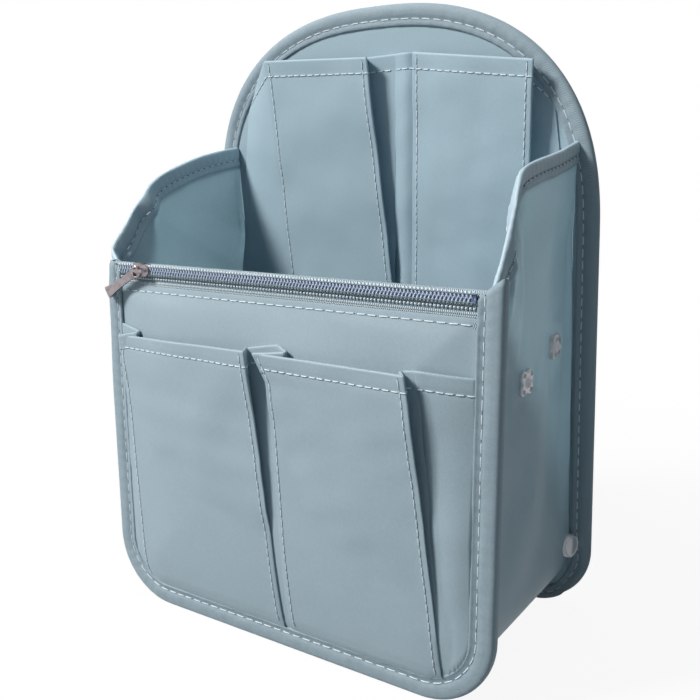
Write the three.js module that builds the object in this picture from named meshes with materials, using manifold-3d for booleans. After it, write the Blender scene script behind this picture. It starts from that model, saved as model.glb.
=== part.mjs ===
// Fabric organizer insert for a backpack: an arched back panel and a low front panel, both stiffened
// with a board and edged with binding tape, joined by a soft gusset that runs down one side, under
// the base and up the other. Three pleated pockets stand inside the back panel, three on the front,
// and a coil zipper along the front's top edge closes a flat pocket behind the front cover.
// Units are millimetres, +X to the right, +Y to the back, +Z up. The front faces -Y.

import * as THREE from 'three';
import { mergeVertices } from 'three/addons/utils/BufferGeometryUtils.js';
import Module from 'manifold-3d';

const wasm = await Module();
wasm.setup();

// Cloth and clearances
const CLOTH = 0.4;
const BOARD = 0.8;
const SEAT = 0.3;
const BINDING_WIDTH = 10.5;
const BOARD_MARGIN = 3;

// Front panel
const FRONT_WIDTH = 210;
const FRONT_HEIGHT = 175.5;
const FRONT_CORNER = 32.7;
const FRONT_PUFF = 3.4;
const FRONT_PUFF_RUN = 50;

// Back panel
const BACK_WIDTH = 216.6;
const BACK_HEIGHT = 292.9;
const BACK_CORNER = 32.2;
const ARCH_SHOULDER = 189;
const ARCH_POWER = 0.82;
const BACK_LEAN = THREE.MathUtils.degToRad(4.9);
const BASE_DEPTH = 108.4;

// Gusset and its hem, whose line runs up from the front, over a rounded knee, to the back
const GUSSET_INSET = 6.5;
const GUSSET_LIFT = 6.3;
const GUSSET_CORNER = 27;
const HEM_WIDTH = 11;
const HEM_FRONT_HEIGHT = 174;
const HEM_KNEE_DEPTH = 22;
const HEM_KNEE_HEIGHT = 213;
const HEM_KNEE_RUN_FRONT = 15.2;
const HEM_KNEE_RUN_REAR = 21.3;
const HEM_REAR_HEIGHT = 227;

// Zipper chain and slider
const CHAIN_HEIGHT = 170.3;
const COIL_WIDTH = 1.8;
const COIL_THICKNESS = 1.6;
const COIL_GAP = 1;
const TAPE_BELOW_CHAIN = 3.6;
const SLIDER_REST_X = -78;
const SLIDER_LENGTH = 9.5;
const SLIDER_TAPER = 0.6;
const SLIDER_CHAMFER = 1.4;
const SLIDER_FLANGE = 0.7;
const SLIDER_PLATE = 0.8;
const SLIDER_REAR_PLATE = 0.6;
const SLIDER_POST = 0.4;
const SLIDER_POST_LENGTH = 3;
const SLIDER_POST_INSET = 1;
const CROWN_LENGTH = 6.8;
const CROWN_WIDTH = 1.4;
const CROWN_LEG = 1;
const CROWN_GAP = 1.6;
const CROWN_BAR = 1;

// Zipper pull
const PULL_ANGLE = THREE.MathUtils.degToRad(30);
const PULL_PIN = 1;
const PULL_LENGTH = 24;
const PULL_LOOP_WIDTH = 5.9;
const PULL_LOOP_LENGTH = 3.2;
const PULL_SHOULDER = 2.4;
const PULL_ARM = 0.9;
const PULL_NECK_WIDTH = 3.4;
const PULL_FLARE_PLACE = 18.7;
const PULL_FLARE_WIDTH = 3.8;
const PULL_FLARE_THICKNESS = 1.3;
const PULL_END_WIDTH = 4.6;
const PULL_END_THICKNESS = 2;

// Snap halves sewn to the outside of the gusset, placed by height and by depth from a panel
const SNAP_CORE = 3.1;
const SNAP_LOBE = 2.3;
const SNAP_LOBE_OFFSET = 3.1;
const SNAP_LOBE_THICKNESS = 1.05;
const SNAP_HOLE = 0.8;
const SNAP_HOLE_OFFSET = 3.7;
const SNAP_THICKNESS = 1.5;
const SNAP_STUD = 1.5;
const SNAP_STUD_HEIGHT = 1.2;
const SNAP_SOCKET_DEPTH = 0.9;
const FRONT_SNAP = { depth: 38, height: 131 };
const MIDDLE_SNAP = { depth: 70, height: 140.5 };
const REAR_SNAP = { fromBack: 5.8, height: 36 };

// Pockets, each pair as at the foot and at the mouth: left edge, right edge, height, and how far the
// left and right side of the face stand off the panel
const FRONT_POCKET_END = FRONT_WIDTH / 2 - BINDING_WIDTH - SEAT;
const FRONT_POCKET_HEIGHT = [10.8, 140.6];
const FRONT_LEFT_POCKET = {
  left: [-84, -FRONT_POCKET_END], right: [3, -8], height: FRONT_POCKET_HEIGHT,
  nearLeft: [1.8, 6], nearRight: [1.8, 12.5],
};
const FRONT_MIDDLE_POCKET = {
  left: [5.2, -5.6], right: [83, 70.5], height: FRONT_POCKET_HEIGHT,
  nearLeft: [1.8, 11], nearRight: [1.8, 12.5],
};
const FRONT_RIGHT_POCKET = {
  left: [84.2, 71.8], right: [FRONT_POCKET_END, FRONT_POCKET_END], height: FRONT_POCKET_HEIGHT,
  nearLeft: [1.8, 8.6], nearRight: [1.8, 7.8],
};
const BACK_LEFT_POCKET = {
  left: [-58, -67], right: [3.5, -3], height: [10.8, 268.5], nearLeft: [1.2, 9], nearRight: [1.2, 9.5],
};
const BACK_PEN_POCKET = {
  left: [4.5, 8.5], right: [14.5, 19.5], height: [10.8, 268.5], nearLeft: [1.2, 6.6], nearRight: [1.2, 6.6],
};
const BACK_RIGHT_POCKET = {
  left: [15.5, 20.5], right: [70, 81], height: [10.8, 264.5], nearLeft: [1.2, 6.6], nearRight: [1.2, 10],
};

// How finely curves are stepped
const ARC_STEPS = 10;
const ARCH_STEPS = 36;
const KNEE_STEPS = 8;
const SNAP_FACETS = 12;
const COVER_COLUMNS = 22;
const COVER_ROWS = 20;

// Cutting solids reach this far past what they cut, or right through everything
const OVERCUT = 1;
const THROUGH = 2 * BACK_HEIGHT;

// Places that follow from the sizes above; each panel's layers are counted back from its front face
const LAYER = CLOTH + SEAT;
const GUSSET_HALF_WIDTH = FRONT_WIDTH / 2 - GUSSET_INSET;
const WALL_Y = LAYER + SLIDER_REAR_PLATE + SEAT;
const FRONT_BOARD_Y = WALL_Y + LAYER;
const FRONT_LINING_Y = FRONT_BOARD_Y + BOARD + SEAT;
const FRONT_REAR_Y = FRONT_LINING_Y + CLOTH;
const BACK_BOARD_Y = LAYER;
const BACK_COVER_Y = BACK_BOARD_Y + BOARD + SEAT;
const BACK_REAR_Y = BACK_COVER_Y + CLOTH;
const COIL_FACE = SEAT + COIL_THICKNESS;
const CHAIN_HALF = COIL_GAP / 2 + COIL_WIDTH;
const COVER_TOP = CHAIN_HEIGHT - CHAIN_HALF - TAPE_BELOW_CHAIN - SEAT;
const BINDING_REAR_LEG = FRONT_WIDTH / 2 - GUSSET_HALF_WIDTH - LAYER - SEAT;
const BACK_FRONT_LEG = BACK_WIDTH / 2 - GUSSET_HALF_WIDTH - SEAT;

const MATERIALS = {
  cover: new THREE.MeshStandardMaterial({ color: 0x93a9b4, roughness: 0.62, metalness: 0 }),
  lining: new THREE.MeshStandardMaterial({ color: 0x8ba3b0, roughness: 0.66, metalness: 0 }),
  binding: new THREE.MeshStandardMaterial({ color: 0xa1b1b4, roughness: 0.74, metalness: 0 }),
  board: new THREE.MeshStandardMaterial({ color: 0xe8e6df, roughness: 0.55, metalness: 0 }),
  coil: new THREE.MeshStandardMaterial({ color: 0xc9dade, roughness: 0.4, metalness: 0 }),
  metal: new THREE.MeshStandardMaterial({ color: 0xb5a5a4, roughness: 0.28, metalness: 1 }),
  snap: new THREE.MeshStandardMaterial({ color: 0xd3cdd4, roughness: 0.35, metalness: 0 }),
};

function addMesh(parent, name, geometry, material) {
  const mesh = new THREE.Mesh(geometry, material);
  mesh.name = name;
  parent.add(mesh);
  return mesh;
}

// Closed geometry to a solid that can be joined and cut, and back again
function toSolid(geometry) {
  const bare = geometry.clone();
  bare.deleteAttribute('normal');
  bare.deleteAttribute('uv');
  const welded = mergeVertices(bare, 1e-4);
  return new wasm.Manifold(new wasm.Mesh({
    numProp: 3,
    vertProperties: new Float32Array(welded.attributes.position.array),
    triVerts: new Uint32Array(welded.index.array),
  }));
}

function toGeometry(solid) {
  const mesh = solid.getMesh();
  return meshGeometry(Array.from(mesh.vertProperties), Array.from(mesh.triVerts));
}

function meshGeometry(positions, index) {
  const geometry = new THREE.BufferGeometry();
  geometry.setAttribute('position', new THREE.Float32BufferAttribute(positions, 3));
  geometry.setIndex(index);
  geometry.computeVertexNormals();
  return geometry;
}

// A flat outline in the XZ plane, made as thick as the stretch from y0 to y1
function slab(points, y0, y1) {
  const geometry = new THREE.ExtrudeGeometry(new THREE.Shape(points), { depth: y1 - y0, bevelEnabled: false });
  return geometry.rotateX(Math.PI / 2).translate(0, y1, 0);
}

// A flat outline in the YZ plane, made as thick as the stretch from x0 to x1
function sideSlab(points, x0, x1) {
  const geometry = new THREE.ExtrudeGeometry(new THREE.Shape(points), { depth: x1 - x0, bevelEnabled: false });
  const turn = new THREE.Matrix4().makeBasis(
    new THREE.Vector3(0, 1, 0), new THREE.Vector3(0, 0, 1), new THREE.Vector3(1, 0, 0),
  );
  return geometry.applyMatrix4(turn).translate(x0, 0, 0);
}

function block(x0, x1, y0, y1, z0, z1) {
  const geometry = new THREE.BoxGeometry(x1 - x0, y1 - y0, z1 - z0);
  return geometry.translate((x0 + x1) / 2, (y0 + y1) / 2, (z0 + z1) / 2);
}

// The two distances from the middle plane on one side of it, smaller coordinate first
function onSide(sign, near, far) {
  return sign > 0 ? [near, far] : [-far, -near];
}

// Points of a quarter circle from one angle to the next quarter
function quarterArc(x, z, radius, from) {
  const points = [];
  for (let step = 0; step <= ARC_STEPS; step += 1) {
    const angle = from + (step / ARC_STEPS) * Math.PI / 2;
    points.push(new THREE.Vector2(x + radius * Math.cos(angle), z + radius * Math.sin(angle)));
  }
  return points;
}

// The front panel's outline, drawn in from its edge by inset, with its top at the given height
function frontOutline(inset, top) {
  const half = FRONT_WIDTH / 2 - inset;
  const radius = FRONT_CORNER - inset;
  const straight = FRONT_WIDTH / 2 - FRONT_CORNER;
  return [
    ...quarterArc(-straight, FRONT_CORNER, radius, Math.PI),
    ...quarterArc(straight, FRONT_CORNER, radius, 1.5 * Math.PI),
    new THREE.Vector2(half, top),
    new THREE.Vector2(-half, top),
  ];
}

// The back panel's outline, drawn in from its edge by inset: rounded feet, straight sides and an arch
function backOutline(inset) {
  const half = BACK_WIDTH / 2 - inset;
  const radius = BACK_CORNER - inset;
  const straight = BACK_WIDTH / 2 - BACK_CORNER;
  const rise = BACK_HEIGHT - inset - ARCH_SHOULDER;
  const points = [
    ...quarterArc(-straight, BACK_CORNER, radius, Math.PI),
    ...quarterArc(straight, BACK_CORNER, radius, 1.5 * Math.PI),
  ];
  for (let step = 0; step <= ARCH_STEPS; step += 1) {
    const angle = (step / ARCH_STEPS) * Math.PI;
    const cos = Math.cos(angle);
    points.push(new THREE.Vector2(
      Math.sign(cos) * half * Math.abs(cos) ** ARCH_POWER,
      ARCH_SHOULDER + rise * Math.sin(angle) ** ARCH_POWER,
    ));
  }
  return points;
}

// How far the front cover stands forward at a point, from nothing at the binding to a soft crown
function coverPuff(x, z) {
  const side = FRONT_WIDTH / 2 - BINDING_WIDTH - Math.abs(x);
  const corner = FRONT_CORNER - BINDING_WIDTH;
  const foot = z - BINDING_WIDTH;
  const inCorner = side < corner && foot < corner;
  const toEdge = inCorner ? corner - Math.hypot(corner - side, corner - foot) : Math.min(side, foot);
  const distance = Math.min(toEdge, COVER_TOP - z);
  const share = THREE.MathUtils.clamp(distance / FRONT_PUFF_RUN, 0, 1);
  return FRONT_PUFF * (1 - (1 - share) ** 2);
}

// A sheet over the front panel that follows the cover's crown, from ahead of it back to a rear face
function puffedSheet(inset, top, ahead, rearFace) {
  const straight = FRONT_WIDTH / 2 - FRONT_CORNER;
  const radius = FRONT_CORNER - inset;
  const positions = [];
  const addSide = (facing) => {
    for (let row = 0; row <= COVER_ROWS; row += 1) {
      const z = inset + (top - inset) * (row / COVER_ROWS);
      const below = Math.max(0, FRONT_CORNER - z);
      const half = straight + Math.sqrt(Math.max(0, radius ** 2 - below ** 2));
      for (let column = 0; column <= COVER_COLUMNS; column += 1) {
        const x = half * Math.sin((column / COVER_COLUMNS - 0.5) * Math.PI);
        positions.push(x, facing(x, z), z);
      }
    }
  };
  addSide((x, z) => -coverPuff(x, z) - ahead);
  addSide(rearFace);
  const width = COVER_COLUMNS + 1;
  const rear = width * (COVER_ROWS + 1);
  const index = [];
  const quad = (a, b, c, d) => index.push(a, b, c, a, c, d);
  for (let row = 0; row < COVER_ROWS; row += 1) {
    const left = row * width;
    const right = left + COVER_COLUMNS;
    for (let at = left; at < right; at += 1) {
      quad(at, at + 1, at + width + 1, at + width);
      quad(rear + at, rear + at + width, rear + at + width + 1, rear + at + 1);
    }
    quad(left, left + width, rear + left + width, rear + left);
    quad(right, rear + right, rear + right + width, right + width);
  }
  for (let column = 0; column < COVER_COLUMNS; column += 1) {
    const high = COVER_ROWS * width + column;
    quad(column, rear + column, rear + column + 1, column + 1);
    quad(high, high + 1, rear + high + 1, rear + high);
  }
  return meshGeometry(positions, index);
}

// A six-sided solid; each end's four corners run anticlockwise from bottom left, seen from the front
function hexahedron(front, rear) {
  const sides = [
    [0, 1, 2, 3], [5, 4, 7, 6], [4, 5, 1, 0],
    [3, 2, 6, 7], [4, 0, 3, 7], [1, 5, 6, 2],
  ];
  const index = sides.flatMap(([a, b, c, d]) => [a, b, c, a, c, d]);
  return meshGeometry([...front, ...rear].flat(), index);
}

// The wedge inside a pocket's edges, its sides drawn in by inset and its top stretched by rise
function pocketWedge(pocket, inset, rise, rearY) {
  const [low, high] = pocket.height;
  const atTop = (pair) => pair[1] + (pair[1] - pair[0]) * rise / (high - low);
  const corner = (side, near, sign, place) => [
    place(side) + sign * inset, inset - place(near), place === atTop ? high + rise : low + inset,
  ];
  const atFoot = (pair) => pair[0];
  const front = [
    corner(pocket.left, pocket.nearLeft, 1, atFoot),
    corner(pocket.right, pocket.nearRight, -1, atFoot),
    corner(pocket.right, pocket.nearRight, -1, atTop),
    corner(pocket.left, pocket.nearLeft, 1, atTop),
  ];
  const rear = front.map(([x, , z]) => [x, rearY, z]);
  return toSolid(hexahedron(front, rear));
}

// A pleated pocket: a sloping face with two sides and a closed foot, open at the top and behind
function pocketTray(pocket) {
  return pocketWedge(pocket, 0, 0, OVERCUT).subtract(pocketWedge(pocket, CLOTH, OVERCUT, 2 * OVERCUT));
}

// Tape folded round an edge: a channel that follows the outline with a leg on each face
function foldedBinding(outline, nearY, farY, nearLeg, farLeg) {
  const outer = toSolid(slab(outline(0), nearY - LAYER, farY + LAYER));
  const channel = toSolid(slab(outline(CLOTH), nearY - SEAT, farY + SEAT));
  const nearCut = toSolid(slab(outline(nearLeg), nearY - LAYER - OVERCUT, nearY));
  const farCut = toSolid(slab(outline(farLeg), farY, farY + LAYER + OVERCUT));
  return outer.subtract(channel).subtract(nearCut).subtract(farCut);
}

function buildFrontPanel(front) {
  const cover = puffedSheet(LAYER, COVER_TOP, 0, (x, z) => CLOTH - coverPuff(x, z));
  addMesh(front, 'front_outer_cover', cover, MATERIALS.cover);
  const wall = slab(frontOutline(LAYER, FRONT_HEIGHT), WALL_Y, WALL_Y + CLOTH);
  addMesh(front, 'zip_pocket_wall', wall, MATERIALS.lining);
  const boardOutline = frontOutline(LAYER + BOARD_MARGIN, FRONT_HEIGHT - BOARD_MARGIN);
  addMesh(front, 'front_stiffener_board', slab(boardOutline, FRONT_BOARD_Y, FRONT_BOARD_Y + BOARD), MATERIALS.board);
  const lining = slab(frontOutline(LAYER, FRONT_HEIGHT), FRONT_LINING_Y, FRONT_LINING_Y + CLOTH);
  addMesh(front, 'front_lining', lining, MATERIALS.lining);
  const overTop = FRONT_HEIGHT + FRONT_CORNER;
  const ring = foldedBinding(
    (inset) => frontOutline(inset, overTop), 0, FRONT_REAR_Y, BINDING_WIDTH, BINDING_REAR_LEG,
  );
  const above = toSolid(block(-THROUGH, THROUGH, -THROUGH, THROUGH, FRONT_HEIGHT, THROUGH));
  addMesh(front, 'front_binding', toGeometry(ring.subtract(above)), MATERIALS.binding);
}

// The front pockets stand off the cover's crown and end short of the binding
function buildFrontPockets(front) {
  const behindCover = toSolid(puffedSheet(0, FRONT_HEIGHT, SEAT, () => WALL_Y));
  const withinBinding = toSolid(slab(frontOutline(BINDING_WIDTH + SEAT, FRONT_HEIGHT), -THROUGH, THROUGH));
  const pockets = {
    front_pocket_left: FRONT_LEFT_POCKET,
    front_pocket_middle: FRONT_MIDDLE_POCKET,
    front_pocket_right: FRONT_RIGHT_POCKET,
  };
  for (const [name, pocket] of Object.entries(pockets)) {
    const tray = pocketTray(pocket).intersect(withinBinding).subtract(behindCover);
    addMesh(front, name, toGeometry(tray), MATERIALS.cover);
  }
}

function buildBackPanel(back) {
  addMesh(back, 'back_lining', slab(backOutline(LAYER), 0, CLOTH), MATERIALS.lining);
  const board = slab(backOutline(LAYER + BOARD_MARGIN), BACK_BOARD_Y, BACK_BOARD_Y + BOARD);
  addMesh(back, 'back_stiffener_board', board, MATERIALS.board);
  addMesh(back, 'back_outer_cover', slab(backOutline(LAYER), BACK_COVER_Y, BACK_REAR_Y), MATERIALS.cover);
  const ring = foldedBinding(backOutline, 0, BACK_REAR_Y, BACK_FRONT_LEG, BINDING_WIDTH);
  const underGusset = toSolid(slab(gussetOutline(SEAT, HEM_REAR_HEIGHT + OVERCUT), -LAYER - OVERCUT, 0));
  addMesh(back, 'back_binding', toGeometry(ring.subtract(underGusset)), MATERIALS.binding);
}

// The back pockets stand off the lining and are cut clear of the binding's front leg
function buildBackPockets(back) {
  const behindLining = toSolid(slab(backOutline(0), -SEAT, BACK_REAR_Y));
  const insideLeg = toSolid(slab(backOutline(BACK_FRONT_LEG + SEAT), -THROUGH, THROUGH));
  const overBinding = toSolid(slab(backOutline(0), -LAYER - SEAT, BACK_REAR_Y)).subtract(insideLeg);
  const pockets = {
    back_pocket_left: BACK_LEFT_POCKET,
    back_pocket_pen: BACK_PEN_POCKET,
    back_pocket_right: BACK_RIGHT_POCKET,
  };
  for (const [name, pocket] of Object.entries(pockets)) {
    const tray = pocketTray(pocket).subtract(behindLining).subtract(overBinding);
    addMesh(back, name, toGeometry(tray), MATERIALS.lining);
  }
}

// Where the back panel's inner face stands at a height, clear of it by gap
function backFaceY(height, gap) {
  return BASE_DEPTH - height * Math.tan(BACK_LEAN) - gap / Math.cos(BACK_LEAN);
}

// The hem's line seen from the side, lowered square to itself by drop
function hemLine(drop) {
  const start = new THREE.Vector2(FRONT_REAR_Y + SEAT, HEM_FRONT_HEIGHT);
  const knee = new THREE.Vector2(FRONT_REAR_Y + HEM_KNEE_DEPTH, HEM_KNEE_HEIGHT);
  const end = new THREE.Vector2(backFaceY(HEM_REAR_HEIGHT, SEAT + LAYER), HEM_REAR_HEIGHT);
  const before = start.clone().sub(knee).setLength(HEM_KNEE_RUN_FRONT).add(knee);
  const after = end.clone().sub(knee).setLength(HEM_KNEE_RUN_REAR).add(knee);
  const bend = new THREE.QuadraticBezierCurve(before, knee, after);
  const line = [start, ...bend.getPoints(KNEE_STEPS), end];
  return line.map((point, at) => {
    const last = line.length - 1;
    const along = line[Math.min(at + 1, last)].clone().sub(line[Math.max(at - 1, 0)]).normalize();
    if (at === 0 || at === last) return new THREE.Vector2(point.x, point.y - drop / along.x);
    return new THREE.Vector2(point.x + along.y * drop, point.y - along.x * drop);
  });
}

// The gusset's cut seen from the side: front edge, hem line and the back panel's lean
function gussetProfile() {
  const front = FRONT_REAR_Y + SEAT;
  const foot = GUSSET_LIFT - OVERCUT;
  const rearTop = HEM_REAR_HEIGHT - LAYER;
  return [
    new THREE.Vector2(front, foot),
    new THREE.Vector2(backFaceY(foot, SEAT), foot),
    new THREE.Vector2(backFaceY(rearTop, SEAT), rearTop),
    ...hemLine(LAYER).reverse(),
  ];
}

// The gusset's outline seen from the front, with its rounded lower corners, grown outwards by margin
function gussetOutline(margin, top) {
  const straight = GUSSET_HALF_WIDTH - GUSSET_CORNER;
  const centre = GUSSET_LIFT + GUSSET_CORNER;
  return [
    new THREE.Vector2(-GUSSET_HALF_WIDTH - margin, top),
    ...quarterArc(-straight, centre, GUSSET_CORNER + margin, Math.PI),
    ...quarterArc(straight, centre, GUSSET_CORNER + margin, 1.5 * Math.PI),
    new THREE.Vector2(GUSSET_HALF_WIDTH + margin, top),
  ];
}

// The gusset runs down one side, under the base and up the other, in three pieces seamed above the corners
function buildGusset(root) {
  const outer = gussetOutline(0, HEM_REAR_HEIGHT + OVERCUT);
  const inner = gussetOutline(-CLOTH, HEM_REAR_HEIGHT + OVERCUT);
  const strip = toSolid(slab([...outer, ...inner.reverse()], 0, THROUGH));
  const whole = strip.intersect(toSolid(sideSlab(gussetProfile(), -THROUGH, THROUGH)));
  const seam = GUSSET_LIFT + GUSSET_CORNER;
  const piece = (name, x0, x1, z0, z1) => {
    const within = toSolid(block(x0, x1, 0, THROUGH, z0, z1));
    addMesh(root, name, toGeometry(whole.intersect(within)), MATERIALS.cover);
  };
  piece('gusset_left', -THROUGH, 0, seam + SEAT, THROUGH);
  piece('gusset_right', 0, THROUGH, seam + SEAT, THROUGH);
  piece('gusset_bottom', -THROUGH, THROUGH, 0, seam);
}

// Tape folded over the gusset's top edge on both sides
function buildGussetHems(root) {
  const band = [...hemLine(HEM_WIDTH).reverse(), ...hemLine(0)];
  const under = [...hemLine(HEM_WIDTH + OVERCUT).reverse(), ...hemLine(CLOTH)];
  const inside = GUSSET_HALF_WIDTH - CLOTH;
  const sides = { gusset_hem_left: -1, gusset_hem_right: 1 };
  for (const [name, sign] of Object.entries(sides)) {
    const tape = sideSlab(band, ...onSide(sign, inside - LAYER, GUSSET_HALF_WIDTH + LAYER));
    const groove = sideSlab(under, ...onSide(sign, inside - SEAT, GUSSET_HALF_WIDTH + SEAT));
    addMesh(root, name, toGeometry(toSolid(tape).subtract(toSolid(groove))), MATERIALS.binding);
  }
}

function buildZipperTapes(front) {
  const reach = FRONT_WIDTH / 2 - LAYER;
  const lower = block(-reach, reach, 0, CLOTH, COVER_TOP + SEAT, CHAIN_HEIGHT - COIL_GAP / 2);
  addMesh(front, 'zipper_tape_lower', lower, MATERIALS.coil);
  const upper = block(-reach, reach, 0, CLOTH, CHAIN_HEIGHT + COIL_GAP / 2, FRONT_HEIGHT);
  addMesh(front, 'zipper_tape_upper', upper, MATERIALS.coil);
}

// Each row of coil is a half-round bead on its tape
function buildZipperCoils(front) {
  const end = FRONT_WIDTH / 2 - BINDING_WIDTH - SEAT;
  const half = COIL_WIDTH / 2;
  const rows = { zipper_coil_lower: -1, zipper_coil_upper: 1 };
  for (const [name, sign] of Object.entries(rows)) {
    const height = CHAIN_HEIGHT + sign * (COIL_GAP / 2 + half);
    const points = [];
    for (let step = 0; step <= ARC_STEPS; step += 1) {
      const angle = (step / ARC_STEPS) * Math.PI;
      points.push(new THREE.Vector2(-SEAT - COIL_THICKNESS * Math.sin(angle), height + half * Math.cos(angle)));
    }
    addMesh(front, name, sideSlab(points, -end, end), MATERIALS.coil);
  }
}

// The slider: a front plate with flanges over the chain, a rear plate, a thin post between and a crown
function buildZipperSlider(front) {
  const chainFace = -COIL_FACE - SEAT;
  const plateFace = chainFace - SLIDER_PLATE;
  const plateMiddle = (chainFace + plateFace) / 2;
  const channel = CHAIN_HALF + SEAT;
  const half = channel + SLIDER_FLANGE;
  const waist = half - SLIDER_TAPER;
  const nose = SLIDER_LENGTH / 2;
  const outline = [
    new THREE.Vector2(-nose, -half), new THREE.Vector2(nose - SLIDER_CHAMFER, -waist),
    new THREE.Vector2(nose, SLIDER_CHAMFER - waist), new THREE.Vector2(nose, waist - SLIDER_CHAMFER),
    new THREE.Vector2(nose - SLIDER_CHAMFER, waist), new THREE.Vector2(-nose, half),
  ];
  const postStart = SLIDER_POST_INSET - nose;
  const bar = CROWN_LENGTH / 2;
  const opening = bar - CROWN_LEG;
  const crown = block(-bar, bar, plateFace - CROWN_GAP - CROWN_BAR, plateMiddle, -CROWN_WIDTH / 2, CROWN_WIDTH / 2);
  const crownGap = block(-opening, opening, plateFace - CROWN_GAP, plateFace, -CROWN_WIDTH, CROWN_WIDTH);
  const slider = [
    slab(outline, plateFace, chainFace),
    slab(outline, LAYER, LAYER + SLIDER_REAR_PLATE),
    block(-nose, 0, plateMiddle, -SEAT, ...onSide(-1, channel, half)),
    block(-nose, 0, plateMiddle, -SEAT, ...onSide(1, channel, half)),
    block(
      postStart, postStart + SLIDER_POST_LENGTH, plateMiddle, LAYER + SLIDER_REAR_PLATE / 2,
      -SLIDER_POST / 2, SLIDER_POST / 2,
    ),
    crown,
  ].map(toSolid).reduce((all, piece) => all.add(piece));
  const mesh = addMesh(front, 'zipper_slider', toGeometry(slider.subtract(toSolid(crownGap))), MATERIALS.metal);
  mesh.position.set(SLIDER_REST_X, 0, CHAIN_HEIGHT);
}

// The pull's tab: square sections from the loop over a slim neck to a flared, thicker end
function pullTab() {
  const start = PULL_LOOP_LENGTH + SEAT;
  const stations = [
    [start, PULL_LOOP_WIDTH - PULL_ARM, PULL_PIN],
    [PULL_LOOP_LENGTH + PULL_SHOULDER, PULL_NECK_WIDTH, PULL_PIN],
    [PULL_FLARE_PLACE, PULL_FLARE_WIDTH, PULL_FLARE_THICKNESS],
    [PULL_LENGTH, PULL_END_WIDTH, PULL_END_THICKNESS],
  ];
  const positions = stations.flatMap(([x, width, thickness]) => {
    const w = width / 2;
    const t = thickness / 2;
    return [x, -t, -w, x, t, -w, x, t, w, x, -t, w];
  });
  const last = 4 * (stations.length - 1);
  const index = [0, 2, 1, 0, 3, 2, last, last + 1, last + 2, last, last + 2, last + 3];
  for (let ring = 0; ring < last; ring += 4) {
    for (let side = 0; side < 4; side += 1) {
      const a = ring + side;
      const b = ring + (side + 1) % 4;
      index.push(a, b, b + 4, a, b + 4, a + 4);
    }
  }
  return toSolid(meshGeometry(positions, index));
}

// The pull hangs on a pin under the crown, its loop's arms passing either side of the crown's leg
function buildZipperPull(front) {
  const pinReach = CROWN_WIDTH / 2 * Math.tan(PULL_ANGLE) + PULL_PIN / 2 / Math.cos(PULL_ANGLE);
  const pinX = -CROWN_LENGTH / 2 + CROWN_LEG + SEAT + pinReach;
  const pinY = -COIL_FACE - SEAT - SLIDER_PLATE - CROWN_GAP / 2;
  const half = PULL_LOOP_WIDTH / 2;
  const thin = PULL_PIN / 2;
  const shoulder = PULL_LOOP_LENGTH + PULL_SHOULDER;
  const outline = [
    new THREE.Vector2(-thin, -half), new THREE.Vector2(-thin, half), new THREE.Vector2(thin, half),
    new THREE.Vector2(shoulder, PULL_NECK_WIDTH / 2), new THREE.Vector2(shoulder, -PULL_NECK_WIDTH / 2),
    new THREE.Vector2(thin, -half),
  ];
  const hole = block(thin, PULL_LOOP_LENGTH, -THROUGH, THROUGH, PULL_ARM - half, half - PULL_ARM);
  const pull = toSolid(slab(outline, -thin, thin)).subtract(toSolid(hole)).add(pullTab());
  const mesh = addMesh(front, 'zipper_pull', toGeometry(pull), MATERIALS.metal);
  mesh.position.set(SLIDER_REST_X + pinX, pinY, CHAIN_HEIGHT);
  mesh.rotation.y = Math.PI - PULL_ANGLE;
}

// A sewn snap half seen face on: four lobes with a sewing hole in each, and a stud or a socket
function snapHalf(stud) {
  const disc = (radius, x, z, y0, y1) => {
    const cylinder = new THREE.CylinderGeometry(radius, radius, y1 - y0, SNAP_FACETS);
    return toSolid(cylinder.translate(x, (y0 + y1) / 2, z));
  };
  const turns = [0.25, 0.75, 1.25, 1.75].map((turn) => turn * Math.PI);
  let half = disc(SNAP_CORE, 0, 0, 0, SNAP_THICKNESS);
  for (const turn of turns) {
    const lobe = [SNAP_LOBE_OFFSET * Math.cos(turn), SNAP_LOBE_OFFSET * Math.sin(turn)];
    half = half.add(disc(SNAP_LOBE, ...lobe, 0, SNAP_LOBE_THICKNESS));
  }
  for (const turn of turns) {
    const hole = [SNAP_HOLE_OFFSET * Math.cos(turn), SNAP_HOLE_OFFSET * Math.sin(turn)];
    half = half.subtract(disc(SNAP_HOLE, ...hole, -OVERCUT, SNAP_THICKNESS + OVERCUT));
  }
  if (stud) return half.add(disc(SNAP_STUD, 0, 0, SNAP_THICKNESS / 2, SNAP_THICKNESS + SNAP_STUD_HEIGHT));
  const floor = SNAP_THICKNESS - SNAP_SOCKET_DEPTH;
  return half.subtract(disc(SNAP_STUD + SEAT, 0, 0, floor, SNAP_THICKNESS + OVERCUT));
}

// A snap half on the outside of the gusset at each side, its working face outwards
function buildSnaps(root, name, place, stud) {
  const sides = { left: -1, right: 1 };
  for (const [side, sign] of Object.entries(sides)) {
    const geometry = toGeometry(snapHalf(stud)).rotateZ(-sign * Math.PI / 2);
    geometry.translate(sign * (GUSSET_HALF_WIDTH + SEAT), place.depth, place.height);
    addMesh(root, `${name}_${side}`, geometry, MATERIALS.snap);
  }
}

const organizer = new THREE.Group();

const frontPanel = new THREE.Group();
organizer.add(frontPanel);
buildFrontPanel(frontPanel);
buildFrontPockets(frontPanel);
buildZipperTapes(frontPanel);
buildZipperCoils(frontPanel);
buildZipperSlider(frontPanel);
buildZipperPull(frontPanel);

const backPanel = new THREE.Group();
backPanel.position.y = BASE_DEPTH;
backPanel.rotation.x = BACK_LEAN;
organizer.add(backPanel);
buildBackPanel(backPanel);
buildBackPockets(backPanel);

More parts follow.
